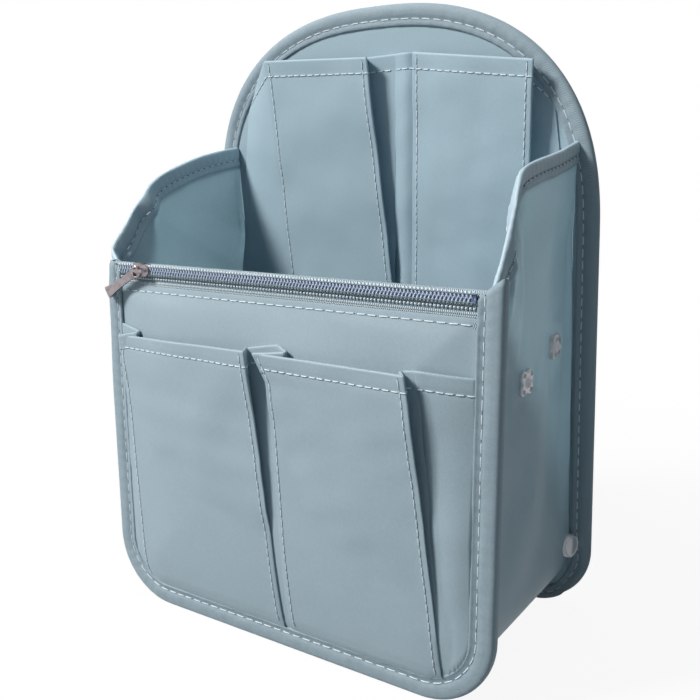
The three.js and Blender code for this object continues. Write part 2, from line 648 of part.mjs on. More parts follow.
buildGusset(organizer);
buildGussetHems(organizer);
buildSnaps(organizer, 'snap_socket_front', FRONT_SNAP, false);
buildSnaps(organizer, 'snap_stud_middle', MIDDLE_SNAP, true);
const rearSnapDepth = backFaceY(REAR_SNAP.height, REAR_SNAP.fromBack);
buildSnaps(organizer, 'snap_stud_rear', { depth: rearSnapDepth, height: REAR_SNAP.height }, true);

// The origin is the centre of the base: midway between the outermost front and back, at the floor
organizer.updateMatrixWorld(true);
const extent = new THREE.Box3().setFromObject(organizer, true);
organizer.position.set(0, -(extent.min.y + extent.max.y) / 2, -extent.min.z);

export default organizer;
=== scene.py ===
"""Looks of a fabric backpack organizer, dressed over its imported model.

The drawing frame is in millimetres: x to the right, y from the front cover to the back, z up from the
table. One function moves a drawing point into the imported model's frame.
"""

from __future__ import annotations

import logging
import math
from dataclasses import dataclass, field
from enum import Enum
from typing import Any, Sequence

import bpy
import numpy as np
from mathutils import Matrix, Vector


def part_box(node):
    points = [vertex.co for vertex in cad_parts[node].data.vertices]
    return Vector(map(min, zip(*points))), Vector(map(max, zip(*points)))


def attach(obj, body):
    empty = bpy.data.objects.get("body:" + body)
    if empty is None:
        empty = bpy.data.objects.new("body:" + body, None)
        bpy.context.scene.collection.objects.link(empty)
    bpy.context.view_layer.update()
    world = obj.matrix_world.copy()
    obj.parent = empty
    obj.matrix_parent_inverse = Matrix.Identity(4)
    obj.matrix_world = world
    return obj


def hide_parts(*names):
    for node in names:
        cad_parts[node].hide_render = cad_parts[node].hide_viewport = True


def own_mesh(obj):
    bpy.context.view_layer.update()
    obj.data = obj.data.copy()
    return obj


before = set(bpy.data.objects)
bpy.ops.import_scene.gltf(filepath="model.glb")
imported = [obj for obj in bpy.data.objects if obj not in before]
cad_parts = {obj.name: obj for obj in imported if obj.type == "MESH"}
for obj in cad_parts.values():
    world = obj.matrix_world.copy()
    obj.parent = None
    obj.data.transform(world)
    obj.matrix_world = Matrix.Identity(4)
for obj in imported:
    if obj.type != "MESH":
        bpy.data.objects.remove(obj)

Array = np.ndarray
Material, Object = bpy.types.Material, bpy.types.Object
Node, NodeSocket, NodeTree = bpy.types.Node, bpy.types.NodeSocket, bpy.types.NodeTree
LOG = logging.getLogger("organizer")
MM = 0.001
# Where the drawing frame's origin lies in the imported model, whose own origin is the middle of its base
DRAWING_ORIGIN = np.array([0.0, -49.3947, 0.0598])
# How many points lie inside a rounded corner
ROUNDING_POINTS = 5
# A stitch along its length: places as shares of it, and its height and width as shares of the thread's radius
STITCH_PLACES = np.array([0.0, 0.13, 0.3, 0.5, 0.7, 0.87, 1.0])
STITCH_HEIGHTS = np.array([-0.2, 0.1, 0.55, 0.7, 0.55, 0.1, -0.2])
STITCH_WIDTHS = np.array([0.85, 0.9, 1.0, 1.0, 1.0, 0.9, 0.85])
STITCH_SIDES = 6
# The step along a panel's edge at which its tape and seams are drawn, in millimetres
TAPE_STEP = 1.1
# How thick the cloths and the tape are, in millimetres
COVER_THICK = 0.4
LINING_THICK = 0.35
POCKET_THICK = 0.38
TAPE_THICK = 0.45
# The spacing of the stitches on hems, pockets' folds and the gusset's top edge, in millimetres
HEM_STITCH = 4.1


# Small tools for points


def in_frame(points: Array) -> Array:
    """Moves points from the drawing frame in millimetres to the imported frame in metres.

    Args:
        points: any array whose last axis is x, y, z.

    Returns:
        The same points in metres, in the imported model's frame.
    """
    return (np.asarray(points, float) + DRAWING_ORIGIN) * MM


def unit(vectors: Array) -> Array:
    """Scales vectors to length one.

    Args:
        vectors: any array whose last axis is a vector.

    Returns:
        The vectors at length one; a vector of no length stays as it is.
    """
    length = np.linalg.norm(vectors, axis=-1, keepdims=True)
    return vectors / np.maximum(length, 1e-12)


def smooth_step(value: Array | float, low: float, high: float) -> Array:
    """Rises softly from 0 at low to 1 at high.

    Args:
        value: where to read the step.
        low: the value where it leaves 0.
        high: the value where it reaches 1.

    Returns:
        The share for each value.
    """
    share = np.clip((np.asarray(value, float) - low) / (high - low), 0, 1)
    return share * share * (3 - 2 * share)


def hill(value: Array | float, centre: float, width: float) -> Array:
    """A rounded hill of height one.

    Args:
        value: where to read it.
        centre: where its top stands.
        width: how far from the top it has sunk to a third.

    Returns:
        The hill's height for each value.
    """
    return np.exp(-(((np.asarray(value, float) - centre) / width) ** 2))


def ripple(first: Array, second: Array, seed: int, length: float) -> Array:
    """Soft unevenness of handled cloth, as a sum of crossing waves.

    Args:
        first: distance along the cloth, in millimetres.
        second: distance up the cloth, in millimetres.
        seed: picks the waves.
        length: about how long a wave is, in millimetres.

    Returns:
        Heights of about -1 to 1.
    """
    draw = np.random.default_rng(seed)
    total = np.zeros(np.broadcast(first, second).shape)
    for _ in range(6):
        turn = draw.uniform(0, math.pi)
        wave = 2 * math.pi / (length * draw.uniform(0.7, 1.6))
        shift = draw.uniform(0, 2 * math.pi)
        total = total + np.sin(wave * (first * math.cos(turn) + second * math.sin(turn)) + shift)
    return total / 3.2


def rounded_line(
    knots: Array, radii: Sequence[float], runs: Sequence[int], arc: int = ROUNDING_POINTS
) -> Array:
    """Follows a line of knots and rounds its corners, always with the same number of points.

    Args:
        knots: the corners, one row each.
        radii: how far from each corner its rounding starts, one for each knot.
        runs: how many points each straight stretch gets.
        arc: how many points lie inside each rounding.

    Returns:
        The points along the line.
    """
    points: list[Array] = []
    last = len(knots) - 1
    for at in range(last):
        here, there = knots[at], knots[at + 1]
        length = max(float(np.linalg.norm(there - here)), 1e-6)
        first = here + (there - here) * (0 if at == 0 else min(radii[at] / length, 0.46))
        final = there - (there - here) * (0 if at + 1 == last else min(radii[at + 1] / length, 0.46))
        points += [first + (final - first) * t for t in np.linspace(0, 1, runs[at])]
        if at + 1 < last:
            after = knots[at + 2]
            reach = max(float(np.linalg.norm(after - there)), 1e-6)
            leave = there + (after - there) * min(radii[at + 1] / reach, 0.46)
            for t in np.linspace(0, 1, arc + 2)[1:-1]:
                points.append((1 - t) ** 2 * final + 2 * t * (1 - t) * there + t * t * leave)
    return np.array(points)


def flowing_line(points: Array, count: int) -> Array:
    """Draws a smooth curve through points, and spreads points evenly along it.

    Args:
        points: the points it passes through.
        count: how many points to give back.

    Returns:
        The curve's points.
    """
    padded = np.concatenate([[2 * points[0] - points[1]], points, [2 * points[-1] - points[-2]]])
    t = np.linspace(0, 1, 13)[:-1, None]
    curve = []
    for a, b, c, d in zip(padded, padded[1:], padded[2:], padded[3:]):
        start = 2 * b + (c - a) * t
        curve.append(0.5 * (start + (2 * a - 5 * b + 4 * c - d) * t**2 + (3 * b - a - 3 * c + d) * t**3))
    return resample(np.concatenate([*curve, points[-1:]]), count)


def resample(points: Array, count: int) -> Array:
    """Spreads points evenly along a line.

    Args:
        points: the line, one row a point.
        count: how many points to give back.

    Returns:
        The evenly spread points.
    """
    along = walked(points)
    places = np.linspace(0, along[-1], count)
    return np.stack([np.interp(places, along, points[:, axis]) for axis in range(points.shape[1])], axis=1)


def walked(line: Array) -> Array:
    """Returns the distance along a line at each of its points."""
    return np.concatenate([[0], np.cumsum(np.linalg.norm(np.diff(line, axis=0), axis=1))])


def tube_rings(line: Array, first: Array, second: Array, radius: Array | float, sides: int) -> Array:
    """Draws a ring of points round each point of a line.

    Args:
        line: the line's points.
        first: the direction in which each ring starts.
        second: the direction a quarter turn on.
        radius: one radius, or one for each ring.
        sides: how many points a ring has.

    Returns:
        The points, ring by ring.
    """
    around = np.linspace(0, 2 * math.pi, sides, endpoint=False)[None, :, None]
    out = np.cos(around) * first[:, None] + np.sin(around) * second[:, None]
    return line[:, None] + np.broadcast_to(radius, (len(line),))[:, None, None] * out


def tube_faces(rings: int, sides: int, base: int = 0, ends: bool = True) -> list[tuple[int, ...]]:
    """Lists the faces round a tube, and then its two ends.

    Args:
        rings: how many rings it has.
        sides: how many points a ring has.
        base: the number of its first point.
        ends: whether its ends are closed.

    Returns:
        The faces, as rows of point numbers.
    """
    faces: list[tuple[int, ...]] = []
    for start in range(base, base + (rings - 1) * sides, sides):
        for side in range(sides):
            a, b = start + side, start + (side + 1) % sides
            faces.append((a, b, b + sides, a + sides))
    if ends:
        faces.append(tuple(base + side for side in reversed(range(sides))))
        faces.append(tuple(base + (rings - 1) * sides + side for side in range(sides)))
    return faces


# Meshes


def make_piece(
    name: str,
    vertices: Array,
    faces: Sequence[Sequence[int]],
    material: Material,
    uv: Array | None = None,
    crease: float = 48.0,
) -> Object:
    """Makes a smooth-shaded mesh object from points in the drawing frame.

    Args:
        name: the piece's name.
        vertices: its points, in millimetres.
        faces: its faces, as rows of point numbers.
        material: its finish.
        uv: the cloth distance at each point, in millimetres.
        crease: edges that turn more than this many degrees stay sharp.

    Returns:
        The new object, linked to the scene.
    """
    mesh = bpy.data.meshes.new(name)
    mesh.from_pydata(in_frame(vertices).tolist(), [], [list(face) for face in faces])
    if uv is not None:
        layer = mesh.uv_layers.new(name="cloth")
        corners = np.zeros(len(mesh.loops), np.int32)
        mesh.loops.foreach_get("vertex_index", corners)
        layer.data.foreach_set("uv", (uv[corners] * MM).astype(np.float32).ravel())
    mesh.materials.append(material)
    mesh.shade_smooth()
    mesh.set_sharp_from_angle(angle=math.radians(crease))
    piece = bpy.data.objects.new(name, mesh)
    bpy.context.scene.collection.objects.link(piece)
    return piece


@dataclass
class Surface:
    """A sheet of cloth as a grid of points, rows by columns, in millimetres."""

    points: Array
    ring: bool = False

    def normals(self) -> Array:
        """Finds which way the sheet faces.

        Returns:
            The direction square to the sheet at each point.
        """
        points = self.points
        if self.ring:
            across = np.roll(points, -1, axis=1) - np.roll(points, 1, axis=1)
        else:
            across = np.gradient(points, axis=1)
        return unit(np.cross(across, np.gradient(points, axis=0)))

    def distances(self) -> Array:
        """Measures along the cloth.

        Returns:
            How far along and up the cloth each point lies, from the middle column and the first row.
        """
        steps = np.linalg.norm(np.diff(self.points, axis=1), axis=2)
        along = np.concatenate([np.zeros((len(steps), 1)), np.cumsum(steps, axis=1)], axis=1)
        along -= along[:, along.shape[1] // 2][:, None]
        climbs = np.linalg.norm(np.diff(self.points, axis=0), axis=2)
        up = np.concatenate([np.zeros((1, climbs.shape[1])), np.cumsum(climbs, axis=0)], axis=0)
        return np.stack([along, up], axis=2)

    def line(self, rows: Array, columns: Array) -> tuple[Array, Array]:
        """Reads points between the grid's own.

        Args:
            rows: row numbers, with fractions.
            columns: column numbers, with fractions.

        Returns:
            The points and the directions square to the sheet there.
        """
        normals = self.normals()
        shape = np.broadcast(rows, columns).shape
        r = np.clip(np.broadcast_to(rows, shape), 0, self.points.shape[0] - 1.001)
        c = np.clip(np.broadcast_to(columns, r.shape), 0, self.points.shape[1] - 1.001)
        r0, c0 = r.astype(int), c.astype(int)
        fr, fc = (r - r0)[:, None], (c - c0)[:, None]

        def mixed(values: Array) -> Array:
            """Returns the values read between four neighbours."""
            low, high = (values[r, c0] * (1 - fc) + values[r, c0 + 1] * fc for r in (r0, r0 + 1))
            return low * (1 - fr) + high * fr

        return mixed(self.points), unit(mixed(normals))

    def solid(self, thickness: float) -> tuple[Array, list[tuple[int, ...]], Array]:
        """Gives the sheet a thickness, half to each side.

        Args:
            thickness: in millimetres.

        Returns:
            Vertices, faces and the cloth distance of each vertex.
        """
        rows, columns = self.points.shape[:2]
        offset = self.normals() * thickness / 2
        vertices = np.concatenate([self.points + offset, self.points - offset]).reshape(-1, 3)
        number = np.arange(rows * columns).reshape(rows, columns)
        turn = np.roll(number, -1, axis=1) if self.ring else number
        left = number if self.ring else number[:, :-1]
        right = turn if self.ring else number[:, 1:]
        a, b, c, d = left[:-1], right[:-1], right[1:], left[1:]
        back = rows * columns
        faces = [(a, b, c, d), (a + back, d + back, c + back, b + back)]
        foot, head = (left[0], right[0]), (left[-1], right[-1])
        faces.append((foot[1], foot[0], foot[0] + back, foot[1] + back))
        faces.append((head[0], head[1], head[1] + back, head[0] + back))
        if not self.ring:
            for low, high in ((number[:-1, 0], number[1:, 0]), (number[1:, -1], number[:-1, -1])):
                faces.append((low, high, high + back, low + back))
        listed = [face for group in faces for face in np.stack([g.ravel() for g in group], axis=1).tolist()]
        uv = self.distances().reshape(-1, 2)
        return vertices, listed, np.concatenate([uv, uv])

    def build(
        self, name: str, material: Material, thickness: float = 0.4, crease: float = 62.0
    ) -> Object:
        """Makes the sheet an object.

        Args:
            name: the piece's name.
            material: its finish.
            thickness: the cloth's thickness, in millimetres.
            crease: edges that turn more than this many degrees stay sharp.

        Returns:
            The new object.
        """
        vertices, faces, uv = self.solid(thickness)
        return make_piece(name, vertices, faces, material, uv, crease)


@dataclass
class Threads:
    """Stitches of one seam or several, each a short bowed length of thread that dips into the cloth."""

    pitch: float = 4.0
    share: float = 0.97
    radius: float = 0.28
    seed: int = 3
    vertices: list[Array] = field(default_factory=list)
    faces: list[tuple[int, ...]] = field(default_factory=list)

    def add(self, points: Array, normals: Array, side: float = 1.0, lift: float = 0.2) -> None:
        """Sews along a line.

        Args:
            points: the seam's line on the cloth, in millimetres.
            normals: the directions square to the cloth there.
            side: 1 sews on the side the normals point to, and -1 on the other.
            lift: how far the cloth's face stands off the line.
        """
        draw = np.random.default_rng(self.seed + len(self.vertices))
        along = walked(points)
        count = max(1, int(round(along[-1] / self.pitch)))
        pitch = along[-1] / count
        heights, widths = STITCH_HEIGHTS * self.radius, STITCH_WIDTHS * self.radius
        for number in range(count):
            length = pitch * self.share * draw.uniform(0.95, 1.04)
            start = number * pitch + draw.uniform(-0.04, 0.04) * pitch
            slip = draw.uniform(-0.07, 0.07)
            places = np.clip(start + STITCH_PLACES * length, 0, along[-1])
            centre = np.stack([np.interp(places, along, points[:, k]) for k in range(3)], axis=1)
            up = unit(np.stack([np.interp(places, along, normals[:, k]) for k in range(3)], axis=1)) * side
            ahead = unit(centre[-1] - centre[0])
            across = unit(np.cross(np.broadcast_to(ahead, up.shape), up))
            slant = (slip * (STITCH_PLACES - 0.5))[:, None] * 2
            centre = centre + up * (lift + heights)[:, None] + across * slant
            base = sum(len(v) for v in self.vertices)
            self.vertices.append(tube_rings(centre, across, up, widths, STITCH_SIDES).reshape(-1, 3))
            self.faces += tube_faces(len(centre), STITCH_SIDES, base)

    def build(self, name: str, material: Material, hole_shade: bool = True) -> Object:
        """Makes every stitch sewn so far one piece.

        Args:
            name: the piece's name.
            material: the thread's finish.
            hole_shade: whether each stitch's ends are darkened, as painted shade of the needle hole the
                thread dips into.

        Returns:
            The new object.
        """
        piece = make_piece(name, np.concatenate(self.vertices), self.faces, material, crease=80)
        if not hole_shade:
            return piece
        # Each stitch's ends get a darker copy of the thread, which paints the shade of its needle holes
        piece.data.materials.append(NEEDLE_HOLE_SHADE.material())
        # A stitch's first and last bands of faces, and its two ends, which are listed last
        sides = (len(STITCH_PLACES) - 1) * STITCH_SIDES
        for face in piece.data.polygons:
            step = face.index % (sides + 2)
            face.material_index = 1 if step < STITCH_SIDES or step >= sides - STITCH_SIDES else 0
        return piece


def assign(pieces: Sequence[Object], body: str, slot: str, *nodes: str) -> None:
    """Tells where pieces belong.

    Args:
        pieces: the pieces.
        body: the body they ride on.
        slot: not used.
        nodes: the CAD nodes that the first piece stands for.
    """
    for piece in pieces:
        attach(piece, body)
    if nodes:
        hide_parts(*nodes)


def declare_sheet(
    surface: Surface,
) -> None:
    """Measures a sheet's cloth distances, which nothing uses afterwards.

    Args:
        surface: the grid it was built from.
    """
    cloth = surface.distances()


# Finishes


def lay_cloth(
    surface: Surface, name: str, node: str, finish: Finish, thickness: float, body: str, slot: str
) -> Object:
    """Lays a cloth that its panel's board holds flat.

    Args:
        surface: where it lies.
        name: the piece's name.
        node: the CAD node it stands for.
        finish: its cloth.
        thickness: in millimetres.
        body: the body it rides on.
        slot: the record's material slot.

    Returns:
        The piece.
    """
    piece = surface.build(name, finish.material(), thickness)
    assign([piece], body, slot, node)
    declare_sheet(surface)
    return piece


def linear(colour: str) -> tuple[float, float, float, float]:
    """Turns an sRGB hex colour to the linear one that shaders use.

    Args:
        colour: such as #9BB0BC.

    Returns:
        Red, green, blue and alpha.
    """
    parts = [int(colour[k : k + 2], 16) / 255 for k in (1, 3, 5)]
    red, green, blue = (p / 12.92 if p <= 0.04045 else ((p + 0.055) / 1.055) ** 2.4 for p in parts)
    return red, green, blue, 1.0


def cells(size_mm: float) -> float:
    """Returns the noise scale whose cells have a size in millimetres."""
    return 1 / (size_mm * MM)


def set_inputs(tree: NodeTree, node: Node, inputs: dict[Any, Any]) -> None:
    """Sets a node's inputs or links them.

    Args:
        tree: the material's node tree.
        node: the node.
        inputs: a value or another node's socket for each input, by name or number.
    """
    for key, value in inputs.items():
        if isinstance(value, NodeSocket):
            tree.links.new(value, node.inputs[key])
        else:
            node.inputs[key].default_value = value


def add_node(
    tree: NodeTree, kind: str, inputs: dict[Any, Any] | None = None, **settings: Any
) -> Node:
    """Adds a node with its settings and links.

    Args:
        tree: the material's node tree.
        kind: Blender's name for the node's type.
        inputs: a value or another node's socket for each input, by name or number.
        settings: the node's own properties.

    Returns:
        The new node.
    """
    node = tree.nodes.new(kind)
    for key, value in settings.items():
        setattr(node, key, value)
    set_inputs(tree, node, inputs or {})
    return node


class Weave(Enum):
    """How the threads cross in a cloth or tape: how far the weave's lines slant."""

    TWILL = 1.0
    HERRINGBONE = 0.6


@dataclass(frozen=True)
class Finish:
    """What a piece is made of: its material's name, its colour and how rough it is."""

    name: str
    colour: str
    roughness: float

    def material(self) -> Material:
        """Makes the finish a material, once.

        Returns:
            The material.
        """
        known = bpy.data.materials.get(self.name)
        if known is not None:
            return known
        made = bpy.data.materials.new(self.name)
        made.use_nodes = True
        made.node_tree.nodes.clear()
        shader = add_node(made.node_tree, "ShaderNodeBsdfPrincipled", {"Roughness": self.roughness})
        self.dress(made.node_tree, shader)
        add_node(made.node_tree, "ShaderNodeOutputMaterial", {"Surface": shader.outputs["BSDF"]})
        return made

    def dress(self, tree: NodeTree, shader: Node) -> None:
        """Adds the finish's own nodes.

        Args:
            tree: the material's node tree.
            shader: the Principled node they feed.
        """
        set_inputs(tree, shader, {"Base Color": linear(self.colour)})


@dataclass(frozen=True)
class WovenCloth(Finish):
    """Woven polyester, calendered to a soft satin sheen. Its weave is a fine twill or tape weave."""

    valley: str = "#7F95A1"
    weave: Weave = Weave.TWILL
    # Real threads are about 0.3 mm apart, too fine to show, so the weave is drawn about three times as coarse
    thread_mm: float = 0.9
    band_mm: float = 1000.0
    shift_mm: float = 2000.0
    relief_mm: float = 0.05
    crumple_mm: float = 0.35
    sheen: float = 0.2
    contrast: float = 0.3
    slub: float = 0.4
    glow: float = 0.0
    # The sizes of the thread's thick spots, the handled cloth's creases, and its paler and darker areas
    slub_mm: float = 1.1111
    crease_mm: float = 26.32
    cloud_mm: float = 45.45

    def dress(self, tree: NodeTree, shader: Node) -> None:
        """Adds the weave, the crumple and the sheen.

        Args:
            tree: the material's node tree.
            shader: the Principled node they feed.
        """
        place = add_node(tree, "ShaderNodeUVMap", uv_map="cloth")
        split = add_node(tree, "ShaderNodeSeparateXYZ", {"Vector": place.outputs["UV"]})
        along, up = split.outputs["X"], split.outputs["Y"]
        lifted = add_node(tree, "ShaderNodeMath", {0: up, 1: self.shift_mm * MM}, operation="ADD").outputs[0]
        band = {0: lifted, 1: self.band_mm * MM}
        folded = add_node(tree, "ShaderNodeMath", band, operation="PINGPONG").outputs[0]
        slant = {0: folded, 1: self.weave.value, 2: along}
        slanted = add_node(tree, "ShaderNodeMath", slant, operation="MULTIPLY_ADD").outputs[0]
        turns = {0: slanted, 1: 2 * math.pi / (self.thread_mm * MM)}
        phase = add_node(tree, "ShaderNodeMath", turns, operation="MULTIPLY").outputs[0]
        wave = add_node(tree, "ShaderNodeMath", {0: phase}, operation="SINE").outputs[0]
        spot = add_node(tree, "ShaderNodeTexCoord").outputs["Object"]
        slubs = {"Vector": spot, "Scale": cells(self.slub_mm), "Detail": 2.0, "Roughness": 0.6}
        slub = add_node(tree, "ShaderNodeTexNoise", slubs).outputs["Fac"]
        rough = add_node(tree, "ShaderNodeMath", {0: slub, 1: self.slub}, operation="MULTIPLY").outputs[0]
        raised = {0: wave, 1: self.contrast, 2: rough}
        thread = add_node(tree, "ShaderNodeMath", raised, operation="MULTIPLY_ADD").outputs[0]
        clouds = {"Vector": spot, "Scale": cells(self.cloud_mm), "Detail": 3.0, "Roughness": 0.55}
        cloud = add_node(tree, "ShaderNodeTexNoise", clouds).outputs["Fac"]
        shade = add_node(tree, "ShaderNodeMath", {0: cloud, 1: 0.32, 2: thread}, operation="MULTIPLY_ADD")
        ramp = add_node(tree, "ShaderNodeValToRGB", {"Fac": shade.outputs[0]})
        low, high = ramp.color_ramp.elements
        low.position, low.color = 0.01, linear(self.valley)
        high.position, high.color = 0.71, linear(self.colour)
        spread = {"Value": cloud, "To Min": self.roughness - 0.07, "To Max": self.roughness + 0.07}
        gloss = add_node(tree, "ShaderNodeMapRange", spread)
        relief = {"Height": thread, "Strength": 0.7, "Distance": self.relief_mm * MM}
        fine = add_node(tree, "ShaderNodeBump", relief)
        creases = {"Vector": spot, "Scale": cells(self.crease_mm), "Detail": 2.0, "Distortion": 0.6}
        crumple = {
            "Height": add_node(tree, "ShaderNodeTexNoise", creases).outputs["Fac"],
            "Strength": 0.8,
            "Distance": self.crumple_mm * MM,
            "Normal": fine.outputs["Normal"],
        }
        inputs = {
            "Base Color": ramp.outputs["Color"],
            "Roughness": gloss.outputs["Result"],
            "Normal": add_node(tree, "ShaderNodeBump", crumple).outputs["Normal"],
            "IOR": 1.5,
            "Specular IOR Level": 0.45,
            "Sheen Weight": self.sheen,
            "Sheen Roughness": 0.45,
            "Sheen Tint": linear("#E6F0F4"),
            # Light from behind comes through the thin cloth, bluer than it went in
            "Subsurface Weight": self.glow,
            "Subsurface Radius": (0.84, 1.0, 1.06),
            "Subsurface Scale": 2.5 * MM,
        }
        set_inputs(tree, shader, inputs)


@dataclass(frozen=True)
class Plastic(Finish):
    """Moulded or drawn plastic, smooth, with a faint unevenness from the mould or die."""

    ior: float = 1.5
    shine_through: float = 0.0
    polish: float = 0.0
    # The skin's unevenness from die or mould is finer than a pixel, so it is drawn a few times as coarse
    grain_mm: float = 3.846

    def dress(self, tree: NodeTree, shader: Node) -> None:
        """Adds the faint cloudiness and the skin's unevenness.

        Args:
            tree: the material's node tree.
            shader: the Principled node they feed.
        """
        spot = add_node(tree, "ShaderNodeTexCoord").outputs["Object"]
        clouds = {"Vector": spot, "Scale": cells(self.grain_mm), "Detail": 3.0}
        cloud = add_node(tree, "ShaderNodeTexNoise", clouds).outputs["Fac"]
        ramp = add_node(tree, "ShaderNodeValToRGB", {"Fac": cloud})
        pale = linear(self.colour)
        low, high = ramp.color_ramp.elements
        low.position, low.color = 0.25, (pale[0] * 0.86, pale[1] * 0.87, pale[2] * 0.9, 1)
        high.position, high.color = 0.75, pale
        skin = add_node(tree, "ShaderNodeBump", {"Height": cloud, "Strength": 0.3, "Distance": 0.05 * MM})
        inputs = {
            "Base Color": ramp.outputs["Color"],
            "Normal": skin.outputs["Normal"],
            "IOR": self.ior,
            "Coat Weight": self.polish,
            "Coat IOR": 1.6,
            "Subsurface Weight": self.shine_through,
            "Subsurface Radius": (0.001, 0.001, 0.0012),
        }
        set_inputs(tree, shader, inputs)


@dataclass(frozen=True)
class PlatedMetal(Finish):
    """Nickel-plated zinc, tumbled before plating, so its skin is faintly pitted and its shine soft."""

    dull: str = "#867E81"
    # Real pits are about 0.2 mm wide, too fine to show, so they are drawn in patches of more than 2 mm
    pit_mm: float = 2.381

    def dress(self, tree: NodeTree, shader: Node) -> None:
        """Adds the plating's cloudiness and pits.

        Args:
            tree: the material's node tree.
            shader: the Principled node they feed.
        """
        spot = add_node(tree, "ShaderNodeTexCoord").outputs["Object"]
        clouds = {"Vector": spot, "Scale": cells(self.pit_mm), "Detail": 4.0, "Roughness": 0.6}
        cloud = add_node(tree, "ShaderNodeTexNoise", clouds).outputs["Fac"]
        ramp = add_node(tree, "ShaderNodeValToRGB", {"Fac": cloud})
        low, high = ramp.color_ramp.elements
        low.position, low.color = 0.3, linear(self.dull)
        high.position, high.color = 0.58, linear(self.colour)
        spread = {"Value": cloud, "To Min": self.roughness + 0.12, "To Max": self.roughness - 0.08}
        gloss = add_node(tree, "ShaderNodeMapRange", spread)
        pits = add_node(tree, "ShaderNodeBump", {"Height": cloud, "Strength": 0.35, "Distance": 0.06 * MM})
        inputs = {
            "Base Color": ramp.outputs["Color"],
            "Roughness": gloss.outputs["Result"],
            "Normal": pits.outputs["Normal"],
            "Metallic": 1.0,
        }
        set_inputs(tree, shader, inputs)


@dataclass(frozen=True)
class SpunThread(Finish):
    """Twisted polyester sewing thread, paler than the cloth, so that each stitch catches the light."""

    # Strands 0.1 mm thick don't show, so each turn of the twist is drawn this long
    twist_mm: float = 0.46508

    def dress(self, tree: NodeTree, shader: Node) -> None:
        """Adds the twist of the strands.

        Args:
            tree: the material's node tree.
            shader: the Principled node they feed.
        """
        spot = add_node(tree, "ShaderNodeTexCoord").outputs["Object"]
        # A wave texture of scale 1 has ten radians in each unit along all three axes
        scale = 2 * math.pi / (10 * math.sqrt(3) * self.twist_mm * MM)
        waves = {"Vector": spot, "Scale": scale, "Distortion": 1.5}
        twist = add_node(tree, "ShaderNodeTexWave", waves, bands_direction="DIAGONAL").outputs["Fac"]
        ramp = add_node(tree, "ShaderNodeValToRGB", {"Fac": twist})
        pale = linear(self.colour)
        low, high = ramp.color_ramp.elements
        low.color, high.color = (pale[0] * 0.72, pale[1] * 0.75, pale[2] * 0.78, 1), pale
        bump = add_node(tree, "ShaderNodeBump", {"Height": twist, "Strength": 0.5, "Distance": 0.06 * MM})
        inputs = {
            "Base Color": ramp.outputs["Color"],
            "Normal": bump.outputs["Normal"],
            "Sheen Weight": 0.3,
        }
        set_inputs(tree, shader, inputs)


# Woven and calendered polyester: a fine twill relief and a satin sheen on blue grey
COVER_CLOTH = WovenCloth("woven_polyester_cover", "#A9BCC6", 0.5, valley="#8BA1AD")
# The same cloth, thinner and bluer, so its weave shows less
LINING_CLOTH = WovenCloth("woven_polyester_lining", "#A6BECA", 0.52, valley="#90AAB7", relief_mm=0.035)
# The gusset's single layer: light from behind glows through it, and its crumples show
GUSSET_CLOTH = WovenCloth(
    "woven_polyester_gusset", "#AFC3CD", 0.5, valley="#91A9B5", relief_mm=0.04, crumple_mm=0.6, glow=0.62
)
# Woven tape, coarser than the cloth and duller, so that the edges read as a darker frame
BINDING_TAPE = WovenCloth(
    "woven_binding_tape", "#A3B5BF", 0.62, valley="#7C919D", thread_mm=1.0, relief_mm=0.08, crumple_mm=0.2,
    contrast=0.34,
)
# Woven zipper tape: pale ribs, and its dark valley colour paints the shade in the grooves between them
ZIPPER_TAPE = WovenCloth(
    "ribbed_zipper_tape", "#D8E6EC", 0.6, valley="#4F6672", weave=Weave.HERRINGBONE, thread_mm=0.86,
    band_mm=1.1, relief_mm=0.22, crumple_mm=0.02, contrast=0.42, slub=0.2, shift_mm=9.75,
)
# Drawn nylon wire, wound to a coil: pale turns with soft highlights
COIL_NYLON = Plastic("nylon_monofilament_coil", "#E2ECF1", 0.3, ior=1.53, grain_mm=2.0)
# The coil's pressed heads where the two rows lock: a darker, bluer copy of the coil's nylon, which paints the
# shade there
COIL_HEAD_SHADE = Plastic("nylon_monofilament_coil_head_painted_shade", "#AEBDD4", 0.3, ior=1.53, grain_mm=2.0)
# The thread that sews the coil on, coloured darker than it is to paint the shade between the turns; the same
# finish paints the shade of the groove under the tape's rib
CHAIN_THREAD_SHADE = SpunThread("polyester_chain_stitch_thread_painted_shade", "#6E8694", 0.6)
# The tape's corded rib: a pale dotted line under the coil
TAPE_CORD = SpunThread("polyester_tape_cord", "#DDE9EE", 0.5)
# The braided nylon core inside each coil, coloured dark blue to paint the shade between its turns
CHAIN_CORD_SHADE = Plastic("nylon_chain_core_painted_shade", "#66779C", 0.5, grain_mm=1.4286)
# The tape folded over the gusset's edge, paler because light comes through it
HEM_TAPE = WovenCloth(
    "woven_polyester_hem", "#BDD6E4", 0.5, valley="#A5BFCD", relief_mm=0.04, crumple_mm=0.4, glow=0.28
)
# Moulded acetal: smooth, milky white, with small sharp highlights
SNAP_RESIN = Plastic("moulded_acetal_snap", "#FAF6FA", 0.3, shine_through=0.12, polish=0.9)
# Extruded polypropylene board: off-white and waxy
STIFFENER = Plastic("extruded_polypropylene_board", "#E4E2DB", 0.45, grain_mm=11.11)
# Nickel plate on cast zinc: warm grey with soft, cloudy reflections
SLIDER_METAL = PlatedMetal("nickel_plated_zinc", "#A69EA1", 0.3)
# Spun polyester sewing thread: pale stitches that catch the light
SEWING_THREAD = SpunThread("spun_polyester_thread", "#E8F3F8", 0.55)
# The same thread, darker, at each stitch's ends: painted shade of the needle hole it dips into
NEEDLE_HOLE_SHADE = SpunThread("spun_polyester_thread_in_shadow", "#748B98", 0.7)


# The studio


